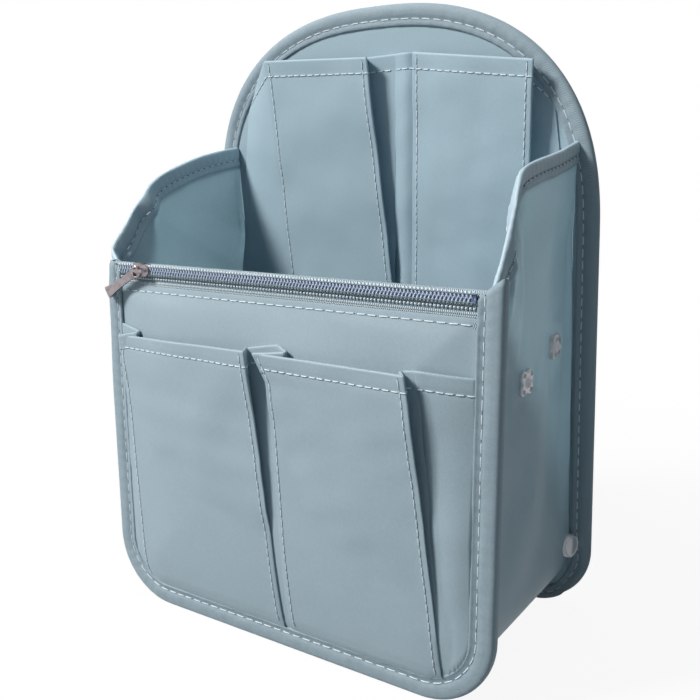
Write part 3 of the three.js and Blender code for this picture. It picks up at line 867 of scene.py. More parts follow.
@dataclass
class Studio:
    """Camera, lamps, floor and world. The camera stands where the photograph was taken from."""

    eye: tuple[float, float, float] = (229.3, -289.3, 218.3)
    turn_deg: float = 33.47
    dip_deg: float = 12.0
    roll_deg: float = -0.3
    focal_pixels: float = 870.6
    frame_pixels: int = 700
    sensor_mm: float = 36.0
    floor_reach: float = 3.0
    # The distances between which the floor's shadow fades to plain white, in metres
    fade: tuple[float, float] = (0.2, 0.55)

    def build(self) -> None:
        """Sets up everything that isn't part of the object."""
        scene = bpy.context.scene
        scene.view_settings.view_transform = "Standard"
        self.add_camera()
        self.add_floor()
        self.add_world()
        self.add_lamp("key_light", (-0.88, -1.12, 1.4), (0.0, 0.0, 0.13), 0.4, 46.0, "#FFFAF6")
        self.add_lamp("fill_light", (0.6, -1.7, 0.5), (0.0, 0.0, 0.1), 1.0, 0.7, "#DDF2FC")
        self.add_lamp("top_light", (-0.1, 0.1, 1.7), (0.0, 0.02, 0.1), 1.1, 6.0, "#E8F7FF")

    def add_camera(self) -> None:
        """Makes the scene's camera."""
        turn, dip, roll = (math.radians(a) for a in (self.turn_deg, self.dip_deg, self.roll_deg))
        level = np.array([-math.sin(turn), math.cos(turn), 0.0])
        right = np.array([math.cos(turn), math.sin(turn), 0.0])
        up = np.array([0.0, 0.0, 1.0])
        ahead = level * math.cos(dip) - up * math.sin(dip)
        above = level * math.sin(dip) + up * math.cos(dip)
        side = right * math.cos(roll) + above * math.sin(roll)
        head = -right * math.sin(roll) + above * math.cos(roll)
        data = bpy.data.cameras.new("camera")
        data.sensor_width = self.sensor_mm
        data.lens = self.focal_pixels / self.frame_pixels * self.sensor_mm
        data.clip_start, data.clip_end = 0.01, 50
        camera = bpy.data.objects.new("camera", data)
        place = in_frame(np.array(self.eye))
        rows = [[side[k], head[k], -ahead[k], place[k]] for k in range(3)]
        camera.matrix_world = Matrix([*rows, [0, 0, 0, 1]])
        bpy.context.scene.collection.objects.link(camera)
        bpy.context.scene.camera = camera

    def add_lamp(
        self, name: str, place: Sequence[float], aim: Sequence[float], size: float, power: float, colour: str
    ) -> None:
        """Hangs a square soft lamp.

        Args:
            name: the lamp's name.
            place: where it hangs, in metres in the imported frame.
            aim: the point it faces.
            size: the side of its square, in metres.
            power: in watts.
            colour: the light's tint.
        """
        data = bpy.data.lights.new(name, "AREA")
        data.size, data.energy, data.color = size, power, linear(colour)[:3]
        lamp = bpy.data.objects.new(name, data)
        back = unit(np.array(place, float) - np.array(aim, float))
        side = unit(np.cross(np.array([0.0, 0.0, 1.0]), back))
        head = np.cross(back, side)
        rows = [[side[k], head[k], back[k], place[k]] for k in range(3)]
        lamp.matrix_world = Matrix([*rows, [0, 0, 0, 1]])
        bpy.context.scene.collection.objects.link(lamp)

    def add_floor(self) -> None:
        """Lays a plain pale floor that keeps the object's soft shadow."""
        material = bpy.data.materials.new("matt_paper_floor")
        material.use_nodes = True
        tree = material.node_tree
        tree.nodes.clear()
        glow = add_node(tree, "ShaderNodeEmission", {"Color": (1, 1, 1, 1), "Strength": 1.0})
        seen = self.seen_rays(tree)
        # The paper throws back less light than it shows, which keeps the shaded side as dark as in the photo
        tones = {"Factor": seen, "A": linear("#8F979C"), "B": linear("#F4F4F4")}
        tone = add_node(tree, "ShaderNodeMix", tones, data_type="RGBA")
        paper = add_node(tree, "ShaderNodeBsdfDiffuse", {"Color": tone.outputs["Result"]})
        # The shadow shows near the object, and the paper is plain white further out, so that no horizon shows
        spot = add_node(tree, "ShaderNodeTexCoord").outputs["Object"]
        far = add_node(tree, "ShaderNodeVectorMath", {0: spot}, operation="LENGTH").outputs["Value"]
        near, away = self.fade
        fade = {"Value": far, "From Min": near, "From Max": away, "To Min": 0.92, "To Max": 1.0}
        white = add_node(tree, "ShaderNodeMapRange", fade).outputs["Result"]
        share = add_node(tree, "ShaderNodeMath", {0: seen, 1: white}, operation="MULTIPLY").outputs[0]
        mixed = add_node(tree, "ShaderNodeMixShader", {0: share, 1: paper.outputs[0], 2: glow.outputs[0]})
        add_node(tree, "ShaderNodeOutputMaterial", {"Surface": mixed.outputs[0]})
        reach = self.floor_reach / MM
        corners = np.array([[-reach, -reach, 0], [reach, -reach, 0], [reach, reach, 0], [-reach, reach, 0]])
        floor = make_piece("floor", corners - np.array([0, 0, DRAWING_ORIGIN[2]]), [(0, 1, 2, 3)], material)

    def seen_rays(self, tree: NodeTree) -> NodeSocket:
        """Tells the rays that look at the background from those that light the object.

        Args:
            tree: the material's or world's node tree.

        Returns:
            A socket that gives 1 for camera, glossy and transmission rays.
        """
        path = add_node(tree, "ShaderNodeLightPath").outputs
        direct = {0: path["Is Camera Ray"], 1: path["Is Glossy Ray"]}
        seen = add_node(tree, "ShaderNodeMath", direct, operation="MAXIMUM").outputs[0]
        through = {0: seen, 1: path["Is Transmission Ray"]}
        return add_node(tree, "ShaderNodeMath", through, operation="MAXIMUM").outputs[0]

    def add_world(self) -> None:
        """Surrounds the scene with soft light, and with plain white where the camera looks past the floor."""
        world = bpy.data.worlds.new("studio")
        bpy.context.scene.world = world
        world.use_nodes = True
        tree = world.node_tree
        tree.nodes.clear()
        soft = add_node(tree, "ShaderNodeBackground", {"Color": linear("#D3EAF5"), "Strength": 0.08})
        white = add_node(tree, "ShaderNodeBackground", {"Color": (1, 1, 1, 1), "Strength": 1.0})
        backs = {0: self.seen_rays(tree), 1: soft.outputs[0], 2: white.outputs[0]}
        mixed = add_node(tree, "ShaderNodeMixShader", backs)
        add_node(tree, "ShaderNodeOutputWorld", {"Surface": mixed.outputs[0]})


# Panel edges and their binding


@dataclass
class PanelEdge:
    """A panel's outline seen face on, anticlockwise, with the tape folded round it."""

    outline: Array
    closed: bool
    near: float
    far: float

    def frames(self, spacing: float) -> tuple[Array, Array, Array]:
        """Walks the outline in even steps.

        Args:
            spacing: the step, in millimetres.

        Returns:
            Points, directions to the inside, and distances along the outline.
        """
        line = np.concatenate([self.outline, self.outline[:1]]) if self.closed else self.outline
        length = float(np.linalg.norm(np.diff(line, axis=0), axis=1).sum())
        count = int(round(length / spacing))
        points = resample(line, count + 1)
        if self.closed:
            points = points[:-1]
            ahead = np.roll(points, -1, axis=0) - np.roll(points, 1, axis=0)
        else:
            ahead = np.gradient(points, axis=0)
        ahead = unit(ahead)
        inward = np.stack([-ahead[:, 1], ahead[:, 0]], axis=1)
        return points, inward, np.arange(len(points)) * length / count

    def profile(self, near_leg: float, far_leg: float) -> tuple[Array, Array, Array]:
        """Draws the folded tape's section, from the near leg's inner edge round to the far leg's.

        Args:
            near_leg: how far the tape reaches in on the near face.
            far_leg: how far it reaches in on the far face.

        Returns:
            Distance in from the edge, depth, and how much each point gives where the tape puckers.
        """
        near, far = self.near, self.far
        middle = (near + far) / 2
        knots = np.array(
            [
                [near_leg, near - 0.1, 0.2], [near_leg - 0.05, near - 0.5, 0.4],
                [near_leg - 0.5, near - 0.8, 0.7], [near_leg - 1.6, near - 0.75, 1.0],
                [near_leg - 2.6, near - 0.45, 0.6],
                [near_leg - 3.1, near - 0.3, 0.3], [near_leg - 3.6, near - 0.5, 0.7],
                [near_leg - 4.8, near - 0.95, 1.0], [near_leg - 6.4, near - 1.1, 0.7],
                [1.9, near - 1.0, 0.4], [0.8, near - 0.65, 0.3], [0.15, near + 0.15, 0.2],
                [0.0, middle - 0.5, 0.1], [0.0, middle + 0.5, 0.1], [0.15, far - 0.15, 0.2],
                [0.9, far + 0.6, 0.3], [2.0, far + 0.8, 0.4], [far_leg * 0.5, far + 0.8, 0.6],
                [far_leg - 1.0, far + 0.6, 0.6], [far_leg - 0.3, far + 0.45, 0.4], [far_leg, far + 0.15, 0.2],
            ]
        )
        keep = np.concatenate([[True], np.linalg.norm(np.diff(knots[:, :2], axis=0), axis=1) > 1e-6])
        line = resample(knots[keep], 64)
        for _ in range(2):
            line[1:-1] = (line[:-2] + 2 * line[1:-1] + line[2:]) / 4
        return line[:, 0], line[:, 1], line[:, 2]

    def tape(self, near_leg: Array | float, far_leg: float, pucker: float, seed: int) -> Surface:
        """Folds the tape round the whole edge.

        Args:
            near_leg: the near leg's reach, one number or one for each step of the outline.
            far_leg: the far leg's reach.
            pucker: the spacing of the puckers that the stitches draw, in millimetres.
            seed: picks the unevenness.

        Returns:
            The tape's surface in panel coordinates.
        """
        points, inward, along = self.frames(TAPE_STEP)
        legs = np.broadcast_to(np.asarray(near_leg, float), along.shape)
        rows = []
        for k, place in enumerate(points):
            inset, depth, give = self.profile(float(legs[k]), far_leg)
            wave = 0.16 * math.cos(2 * math.pi * along[k] / pucker)
            uneven = 0.14 * ripple(inset, along[k], seed, 13.0)
            middle = (self.near + self.far) / 2
            out = np.where(depth < middle, -1.0, 1.0)
            flat = place + inward[k] * (inset + 0.12 * uneven)[:, None]
            stood = depth + out * give * (uneven + wave * 0.5)
            rows.append(np.stack([flat[:, 0], stood, flat[:, 1]], axis=1))
        grid = np.array(rows)
        if self.closed:
            grid = np.concatenate([grid, grid[:1]])
        return Surface(grid)

    def seam(self, inset: Array | float, depth: float) -> tuple[Array, Array]:
        """Follows the outline at a distance in from the edge.

        Args:
            inset: how far in.
            depth: the seam's depth.

        Returns:
            Points, and directions towards the near side.
        """
        points, inward, _ = self.frames(TAPE_STEP)
        flat = points + inward * np.broadcast_to(np.asarray(inset, float), (len(points),))[:, None]
        if self.closed:
            flat = np.concatenate([flat, flat[:1]])
        line = np.stack([flat[:, 0], np.full(len(flat), depth), flat[:, 1]], axis=1)
        return line, np.broadcast_to(np.array([0.0, -1.0, 0.0]), line.shape)


def corner_arc(x: float, z: float, radius: float, start_deg: float, steps: int = 24) -> Array:
    """Draws a quarter circle.

    Args:
        x: the centre, to the right.
        z: the centre, up.
        radius: in millimetres.
        start_deg: where it starts; it ends a quarter turn on.
        steps: how many stretches it has.

    Returns:
        The points.
    """
    angles = np.radians(np.linspace(start_deg, start_deg + 90, steps + 1))
    return np.stack([x + radius * np.cos(angles), z + radius * np.sin(angles)], axis=1)


def even_sheet(heights: Array, halves: Sequence[float], depth: float, columns: int = 72) -> Array:
    """Lays out a flat sheet, evenly across.

    Args:
        heights: the rows' heights.
        halves: the rows' half widths.
        depth: the sheet's depth.
        columns: how many columns it has.

    Returns:
        Its points, rows from the foot up.
    """
    across = np.array(halves)[:, None] * np.linspace(-1, 1, columns)
    tall = np.broadcast_to(heights[:, None], across.shape)
    return np.stack([across, np.full(across.shape, depth), tall], axis=2)


# Front panel


@dataclass
class FrontPanel:
    """Cover, zip pocket wall, lining and binding of the front panel. Sizes in millimetres."""

    width: float = 210.0
    height: float = 175.5
    corner: float = 32.7
    binding: float = 10.5
    left_top: float = 174.4
    right_top: float = 178.0
    rear_leg: float = 5.5
    rear: float = 3.8
    wall_depth: float = 1.8
    wall_top: float = 170.9
    lining_depth: float = 3.6
    lining_top: float = 170.6
    cover_top: float = 162.8
    crown: float = 3.4
    crown_run: float = 50.0
    crown_top: float = 163.7
    seam_height: float = 159.9
    tape_stitch: float = 5.6
    pulled_in: float = 2.8

    def inset(self, x: Array, z: Array) -> Array:
        """Measures how far inside the panel's outline points lie, its open top left out.

        Args:
            x: how far to the right they lie.
            z: how high they lie.

        Returns:
            The distances.
        """
        side, foot = self.width / 2 - np.abs(x), np.asarray(z, float)
        in_corner = (side < self.corner) & (foot < self.corner)
        round_corner = self.corner - np.hypot(self.corner - side, self.corner - foot)
        return np.where(in_corner, round_corner, np.minimum(side, foot))

    def within(self, grid: Array, least: float) -> Array:
        """Moves points at the round foot corners inwards.

        Args:
            grid: panel points.
            least: how far inside the outline they lie at least.

        Returns:
            The points, those elsewhere as they were.
        """
        grid = grid.copy()
        centre = self.width / 2 - self.corner
        across, down = np.abs(grid[..., 0]) - centre, self.corner - grid[..., 2]
        reach = np.maximum(np.hypot(across, down), 1e-6)
        share = np.where((across > 0) & (down > 0), np.minimum(1.0, (self.corner - least) / reach), 1.0)
        grid[..., 0] = np.where(share < 1, np.sign(grid[..., 0]) * (centre + across * share), grid[..., 0])
        grid[..., 2] = np.where(share < 1, self.corner - down * share, grid[..., 2])
        return grid

    def puff(self, x: Array, z: Array) -> Array:
        """Measures how far the crowned cover stands forward, nothing at the binding and top fold.

        Args:
            x: how far to the right the points lie.
            z: how high they lie.

        Returns:
            The distances.
        """
        inside = np.minimum(self.inset(x, z) - self.binding - 1.2, self.crown_top - z)
        share = np.clip(inside / self.crown_run, 0, 1)
        return self.crown * (1 - (1 - share) ** 2)

    def half_at(self, z: float, inset: float) -> float:
        """Measures the panel's half width at a height.

        Args:
            z: the height.
            inset: how far inside the outline.

        Returns:
            The half width.
        """
        below = max(0.0, self.corner - z)
        radius = self.corner - inset
        return self.width / 2 - self.corner + math.sqrt(max(0.0, radius**2 - below**2))

    def sheet(self, inset: float, top: float, depth: float, rows: int = 44, columns: int = 72) -> Array:
        """Lays out an even sheet over the panel.

        Args:
            inset: how far inside the outline it ends.
            top: its top edge's height.
            depth: its depth.
            rows: how many rows it has.
            columns: how many columns it has.

        Returns:
            Its points, rows from the foot up.
        """
        heights = inset + 0.3 + (top - inset - 0.3) * np.linspace(0, 1, rows) ** 1.2
        return even_sheet(heights, [self.half_at(z, inset) for z in heights], depth, columns)

    def place(self, grid: Array) -> Array:
        """Draws the panel's upper left side in a little, as the gusset pulls it.

        Args:
            grid: panel points.

        Returns:
            The points, moved.
        """
        grid = grid.copy()
        tall = grid[..., 2]
        pulled = self.pulled_in * (0.43 * smooth_step(tall, 108, 150) + 0.57 * smooth_step(tall, 156, 174))
        grid[..., 0] += pulled * smooth_step(-grid[..., 0], 94, 104.5)
        return grid

    def build_cover(self) -> Object:
        """Builds the cover, crowned, with its top edge folded back behind the tape and sewn.

        Returns:
            The piece.
        """
        grid = self.sheet(2.0, self.cover_top, 0.0, 96, 110)
        x, z = grid[..., 0], grid[..., 2]
        soft = smooth_step(self.inset(x, z), 11, 30) * smooth_step(self.crown_top - z, 0.5, 12)
        grid[..., 1] = -self.puff(x, z) - 0.45 * soft * (1 + ripple(x, z, 5, 55)) + 0.15
        # The stitches draw the cloth down a little under the fold
        fold = smooth_step(z, self.seam_height, self.cover_top)
        grid[..., 1] += 0.35 * hill(z, self.seam_height, 1.2) - 0.25 * fold
        top = grid[-1].copy()
        turned = []
        for lift, back in ((0.35, 0.2), (0.45, 0.55), (0.2, 0.9), (-0.8, 1.0), (-3.0, 1.05), (-7.0, 1.1)):
            turned.append(top + np.array([0.0, back, lift]))
        surface = Surface(self.place(np.concatenate([grid, np.array(turned)])))
        cover = surface.build("front_cover_cloth", COVER_CLOTH.material(), COVER_THICK)
        row = np.interp(self.seam_height, grid[:, 0, 2], np.arange(len(grid)))
        columns = np.linspace(5.5, grid.shape[1] - 6.5, 200)
        threads = Threads(pitch=5.2)
        threads.add(*surface.line(np.full(len(columns), row), columns))
        sewn = threads.build("front_cover_stitches", SEWING_THREAD.material())
        assign([cover, sewn], "front_panel", "cover_cloth", "front_outer_cover")
        declare_sheet(surface)
        return cover

    def build_inner(self, node: str, depth: float, top: float, seed: int) -> None:
        """Lays a flat inner cloth.

        Args:
            node: the CAD node it stands for.
            depth: its depth in the panel.
            top: its top edge's height.
            seed: picks its unevenness.
        """
        grid = self.sheet(2.0, top, depth)
        x, z = grid[..., 0], grid[..., 2]
        grid[..., 1] += 0.12 * ripple(x, z, seed, 60) * smooth_step(self.inset(x, z), 4, 20)
        surface = Surface(self.place(grid))
        lay_cloth(surface, f"{node}_cloth", node, LINING_CLOTH, LINING_THICK, "front_panel", "lining_cloth")

    def edge(self) -> PanelEdge:
        """Follows the panel's bound edge from the top left round the foot to the top right.

        Returns:
            The edge.
        """
        half, straight = self.width / 2, self.width / 2 - self.corner
        outline = np.concatenate(
            [
                [[-half, self.height]],
                corner_arc(-straight, self.corner, self.corner, 180),
                corner_arc(straight, self.corner, self.corner, 270),
                [[half, self.height]],
            ]
        )
        return PanelEdge(outline, False, 0.0, self.rear)

    def build_binding(self) -> Object:
        """Folds the tape round the edge, its ends tucked in on a slant, and sews it through.

        Returns:
            The tape.
        """
        edge = self.edge()
        grid = edge.tape(self.binding, self.rear_leg, self.tape_stitch, 11).points
        # The ends are folded down to the inside, so the top edge slants up towards the side
        inset = self.width / 2 - np.abs(grid[..., 0])
        right_cut = self.right_top - 0.75 * np.clip(inset - 0.8, 0, 12)
        left_cut = self.left_top - 0.3 * inset - 1.0 * np.exp(-inset)
        cut = np.where(grid[..., 0] > 0, right_cut, left_cut)
        high = grid[..., 2] > 150
        squeeze = 150 + (grid[..., 2] - 150) * (cut - 150) / (self.height - 150)
        grid[..., 2] = np.where(high, squeeze, grid[..., 2])
        tuck = smooth_step(grid[..., 2], cut - 2.2, cut) * (grid[..., 2] > 150)
        grid[..., 1] += np.where(grid[..., 1] < 1.5, 0.9, -0.9) * tuck
        # The tape's inner edge stands a little off the cloth, with a dark line under it
        off = smooth_step(self.inset(grid[..., 0], grid[..., 2]), self.binding - 1.7, self.binding - 0.3)
        grid[..., 1] -= np.where(grid[..., 1] < 1.5, 0.45, 0.0) * off * (grid[..., 2] < 160)
        surface = Surface(self.place(grid))
        tape = surface.build("front_binding_tape", BINDING_TAPE.material(), TAPE_THICK)
        threads = Threads(pitch=self.tape_stitch, seed=9)
        points, normals = edge.seam(self.binding - 3.05, -0.35)
        threads.add(self.place(points[3:-3]), normals[3:-3], 1.0, lift=0.18)
        rear, toward = edge.seam(self.rear_leg - 2.4, self.rear + 0.8)
        threads.add(self.place(rear[3:-3]), toward[3:-3], -1.0, lift=0.15)
        sewn = threads.build("front_binding_stitches", SEWING_THREAD.material())
        assign([tape, sewn], "front_panel", "binding_tape", "front_binding")
        declare_sheet(surface)
        return tape

    def build(self) -> None:
        """Builds and dresses the front panel."""
        self.build_cover()
        self.build_inner("zip_pocket_wall", self.wall_depth, self.wall_top, 21)
        self.build_inner("front_lining", self.lining_depth, self.lining_top, 22)
        self.build_binding()
        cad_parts["front_stiffener_board"].material_slots[0].material = STIFFENER.material()
        LOG.info("front panel: cover, zip pocket wall, lining, binding")


# Zipper


@dataclass
class Zipper:
    """Coil zipper chain, slider and pull along the front panel's top edge. Sizes in millimetres."""

    height: float = 170.3
    reach: float = 104.0
    left_reach: float = 100.4
    coil_reach: float = 94.2
    outer_bend: float = 2.3
    head_overlap: float = 0.35
    coil_half_depth: float = 0.45
    coil_centre: float = -1.1
    pitch: float = 1.65
    wire: float = 0.35
    slant: float = 0.7
    tape_foot: float = 158.5
    stitch_row: float = 1.62
    rib: float = 166.3
    loop_wire: float = 0.46
    pull_sway_deg: float = 30.0
    pull_pin: tuple[float, float, float] = (-79.1185, -3.8, 170.3)

    def build_tape(self, node: str, heights: Array, depths: Array) -> None:
        """Weaves one side's tape.

        Args:
            node: the CAD node it stands for.
            heights: the section's heights, from the coil outwards.
            depths: the section's depths.
        """
        x = np.linspace(-self.left_reach, self.reach, 150)
        grid = np.zeros((len(heights), len(x), 3))
        grid[..., 0] = x[None]
        grid[..., 1] = depths[:, None]
        grid[..., 2] = heights[:, None]
        surface = Surface(grid)
        lay_cloth(surface, f"{node}_cloth", node, ZIPPER_TAPE, COVER_THICK, "front_panel", "zipper_tape")

    def build_tapes(self) -> None:
        """Builds the lower tape, with its woven ribs, and the upper one, folded over behind the coil."""
        heights = np.linspace(self.height - 0.5, self.tape_foot, 80)
        show = smooth_step(heights, 162.4, 163.1) * (1 - smooth_step(heights, 164.7, 165.0))
        depths = 0.2 - 0.55 * show * (0.8 + 0.2 * np.cos(2 * np.pi * (heights - 164.2) / 1.1))
        self.build_tape("zipper_tape_lower", heights[::-1], depths[::-1])
        bend = np.array(
            [[170.8, 0.1], [171.5, 0.1], [172.1, 0.25], [172.6, 0.7], [172.85, 1.4], [172.9, 2.2],
             [172.85, 3.0], [172.6, 3.6], [172.0, 4.0], [170.5, 4.15], [165.6, 4.05]]
        )
        bend = resample(bend, 26)
        self.build_tape("zipper_tape_upper", bend[:, 0], bend[:, 1])

    def coil(self, sign: float) -> tuple[Array, list[tuple[int, ...]]]:
        """Winds one row of the coil. Its front legs slant, and its heads bulge where the rows lock together.

        Args:
            sign: 1 for the upper row, -1 for the lower.

        Returns:
            Vertices and faces.
        """
        turns = int(2 * self.coil_reach / self.pitch) - 1
        per_turn, sides = 14, 6
        angle = np.linspace(0, 2 * math.pi * turns, turns * per_turn + 1)
        inner = (1 - np.cos(angle)) / 2
        x = -self.coil_reach + self.pitch * (angle / (2 * math.pi)) + self.slant * inner
        x = x + (0.5 * self.pitch if sign > 0 else 0)
        reach = self.outer_bend * (1 - inner) - self.head_overlap * inner
        z = self.height + sign * reach
        y = self.coil_centre - self.coil_half_depth * np.sin(angle)
        line = np.stack([x, y, z], axis=1)
        ahead = unit(np.gradient(line, axis=0))
        out = unit(np.stack([np.zeros_like(x), -np.sin(angle), sign * np.cos(angle)], axis=1))
        across = unit(np.cross(ahead, out))
        out = np.cross(across, ahead)
        thick = self.wire * (1 + 0.12 * inner**4)
        return tube_rings(line, out, across, thick, sides).reshape(-1, 3), tube_faces(len(line), sides)

    def build_coils(self) -> None:
        """Builds both rows, the filler cord inside each, and the thread that sews each to its tape."""
        for side, sign in (("upper", 1.0), ("lower", -1.0)):
            vertices, faces = self.coil(sign)
            row = make_piece(f"zipper_coil_{side}_turns", vertices, faces, COIL_NYLON.material(), crease=70)
            # The faces where the two rows lock get the darker copy of the nylon, which paints the shade there
            row.data.materials.append(COIL_HEAD_SHADE.material())
            for face in row.data.polygons:
                if abs(face.center.z / MM - DRAWING_ORIGIN[2] - self.height) < 0.55:
                    face.material_index = 1
            assign([row], "front_panel", "zipper_coil", f"zipper_coil_{side}")
            # The core inside each row is coloured dark, which paints the shade between the turns
            inside = self.cord(self.height + sign * 1.0, self.coil_centre, 0.16, 0.95, 0.0)
            # The thread that sews each row on is darkened, which paints the shade between the turns
            sewn = self.cord(self.height + sign * self.stitch_row, self.coil_centre - 0.68, 0.17, 0.2, 0.1)
            cords = [
                inside.build(f"zipper_filler_{side}", CHAIN_CORD_SHADE.material(), 0.08, 80),
                sewn.build(f"zipper_chain_stitch_{side}", CHAIN_THREAD_SHADE.material(), 0.08, 80),
            ]
            assign(cords, "front_panel", "zipper_coil")
        # Below the coil the tape has a corded rib, and under it a dark cord paints the groove's shade
        line = np.linspace([-self.coil_reach, 0.1, self.rib], [self.coil_reach, 0.1, self.rib], 40)
        rib = Threads(pitch=self.pitch, share=0.86, radius=0.56, seed=4)
        rib.add(line, np.broadcast_to(np.array([0.0, -1.0, 0.0]), line.shape), 1.0, lift=0.15)
        corded = rib.build("zipper_tape_cord", TAPE_CORD.material())
        groove = self.cord(self.rib - 1.15, 0.02, 0.2, 0.36, 0.0)
        shadow = groove.build("zipper_tape_groove_painted_shade", CHAIN_THREAD_SHADE.material(), 0.08, 80)
        assign([corded, shadow], "front_panel", "zipper_tape")

    def cord(self, z: float, y: float, half_depth: float, half_height: float, dip: float) -> Surface:
        """Draws a cord along the chain.

        Args:
            z: its height.
            y: its depth.
            half_depth: half its size front to back.
            half_height: half its size up and down.
            dip: how far it dips between the coil's turns.

        Returns:
            Its surface.
        """
        x = np.linspace(-self.coil_reach, self.coil_reach, 60 if dip == 0 else 900)
        around = np.linspace(0, 2 * math.pi, 9)[:-1]
        grid = np.zeros((len(x), len(around), 3))
        grid[..., 0] = x[:, None]
        wave = dip * np.cos(2 * math.pi * x / self.pitch)
        grid[..., 1] = y + half_depth * np.cos(around)[None] + wave[:, None]
        grid[..., 2] = z + half_height * np.sin(around)[None]
        return Surface(grid, ring=True)

    def tab_surface(self) -> Surface:
        """Draws the pull's tab: a neck, a hollowed face, and a thick end cut on a slant.

        Returns:
            Its surface, lying along its own length.
        """
        # Distance from the pin, half width, front and rear of the body, and how hollow the front face is
        stations = np.array(
            [
                [3.3, 1.4, -0.35, 0.35, 0.0], [3.45, 2.4, -0.5, 0.5, 0.0], [4.4, 2.25, -0.6, 0.55, 0.02],
                [6.0, 1.9, -0.65, 0.6, 0.08], [10.0, 1.75, -0.7, 0.6, 0.14], [14.0, 1.85, -0.8, 0.62, 0.16],
                [18.0, 2.15, -1.0, 0.7, 0.12], [21.0, 2.5, -1.35, 0.8, 0.05], [23.0, 2.78, -1.75, 0.9, 0.0],
                [23.3, 2.76, -1.78, 0.95, 0.0], [24.9, 2.6, -0.4, 1.0, 0.0], [25.2, 2.4, 0.0, 0.95, 0.0],
                [25.25, 1.4, 0.25, 0.8, 0.0],
            ]
        )
        around = np.linspace(0, 2 * math.pi, 33)[:-1]
        cos, sin = np.cos(around), np.sin(around)
        square = np.abs(cos) ** 6 + np.abs(sin) ** 6
        across, deep = cos / square ** (1 / 6), sin / square ** (1 / 6)
        grid = np.zeros((len(stations), len(around), 3))
        for row, (along, half, front, rear, hollow) in enumerate(stations):
            middle, thick = (front + rear) / 2, (rear - front) / 2
            dish = hollow * (1 - across**2) * (deep < -0.5)
            stood = np.full(len(around), along)
            grid[row] = np.stack([stood, middle + deep * thick + dish, across * half], axis=1)
        return Surface(grid, ring=True)

    def loop_surface(self) -> Surface:
        """Draws the pull's loop, a rounded ring of wire round the pin.

        Returns:
            Its surface, lying along the tab's length.
        """
        corners = np.array(
            [[3.9, 0, -1.5], [2.4, 0, -2.35], [0.6, 0, -2.5], [-0.05, 0, -1.9], [-0.05, 0, 1.9],
             [0.6, 0, 2.5], [2.4, 0, 2.35], [3.9, 0, 1.5], [3.9, 0, -1.5]]
        )
        line = rounded_line(corners, [0] + [0.6] * 7 + [0], [3] * 8, 4)[:-1]
        ahead = unit(np.roll(line, -1, axis=0) - np.roll(line, 1, axis=0))
        front = np.broadcast_to(np.array([0.0, 1.0, 0.0]), ahead.shape)
        ring = tube_rings(line, unit(np.cross(ahead, front)), front, self.loop_wire, 10)
        return Surface(np.concatenate([ring, ring[:1]]), ring=True)

    def build_pull(self) -> None:
        """Builds the pull, hanging from its pin on the slant it has in its CAD solid."""
        sway = math.radians(self.pull_sway_deg)
        cos, sin = math.cos(sway), math.sin(sway)
        for surface, name, node in (
            (self.tab_surface(), "zipper_pull_tab", ["zipper_pull"]),
            (self.loop_surface(), "zipper_pull_loop", []),
        ):
            along, deep, across = np.moveaxis(surface.points, -1, 0)
            turned = np.stack([-along * cos - across * sin, deep, -along * sin + across * cos], axis=-1)
            placed = turned + np.array(self.pull_pin)
            # The tab is closed at its ends, and the loop runs back into itself
            faces = tube_faces(*placed.shape[:2], ends=bool(node))
            piece = make_piece(name, placed.reshape(-1, 3), faces, SLIDER_METAL.material(), crease=32)
            assign([piece], "pull", "zipper_metal", *node)

    def dress_metal(self) -> None:
        """Gives the slider rounded edges and its plating."""
        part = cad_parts["zipper_slider"]
        part.material_slots[0].material = SLIDER_METAL.material()
        bevel = part.modifiers.new("rounded_edges", "BEVEL")
        bevel.width, bevel.segments, bevel.limit_method = 0.22 * MM, 3, "ANGLE"
        bevel.angle_limit = math.radians(25)
        bevel.harden_normals = True
        part.data.shade_smooth()

    def build(self) -> None:
        """Builds and dresses the zipper."""
        self.build_tapes()
        self.build_coils()
        self.dress_metal()
        self.build_pull()
        LOG.info("zipper: tapes, coil rows, slider, pull")


# Pleated pockets


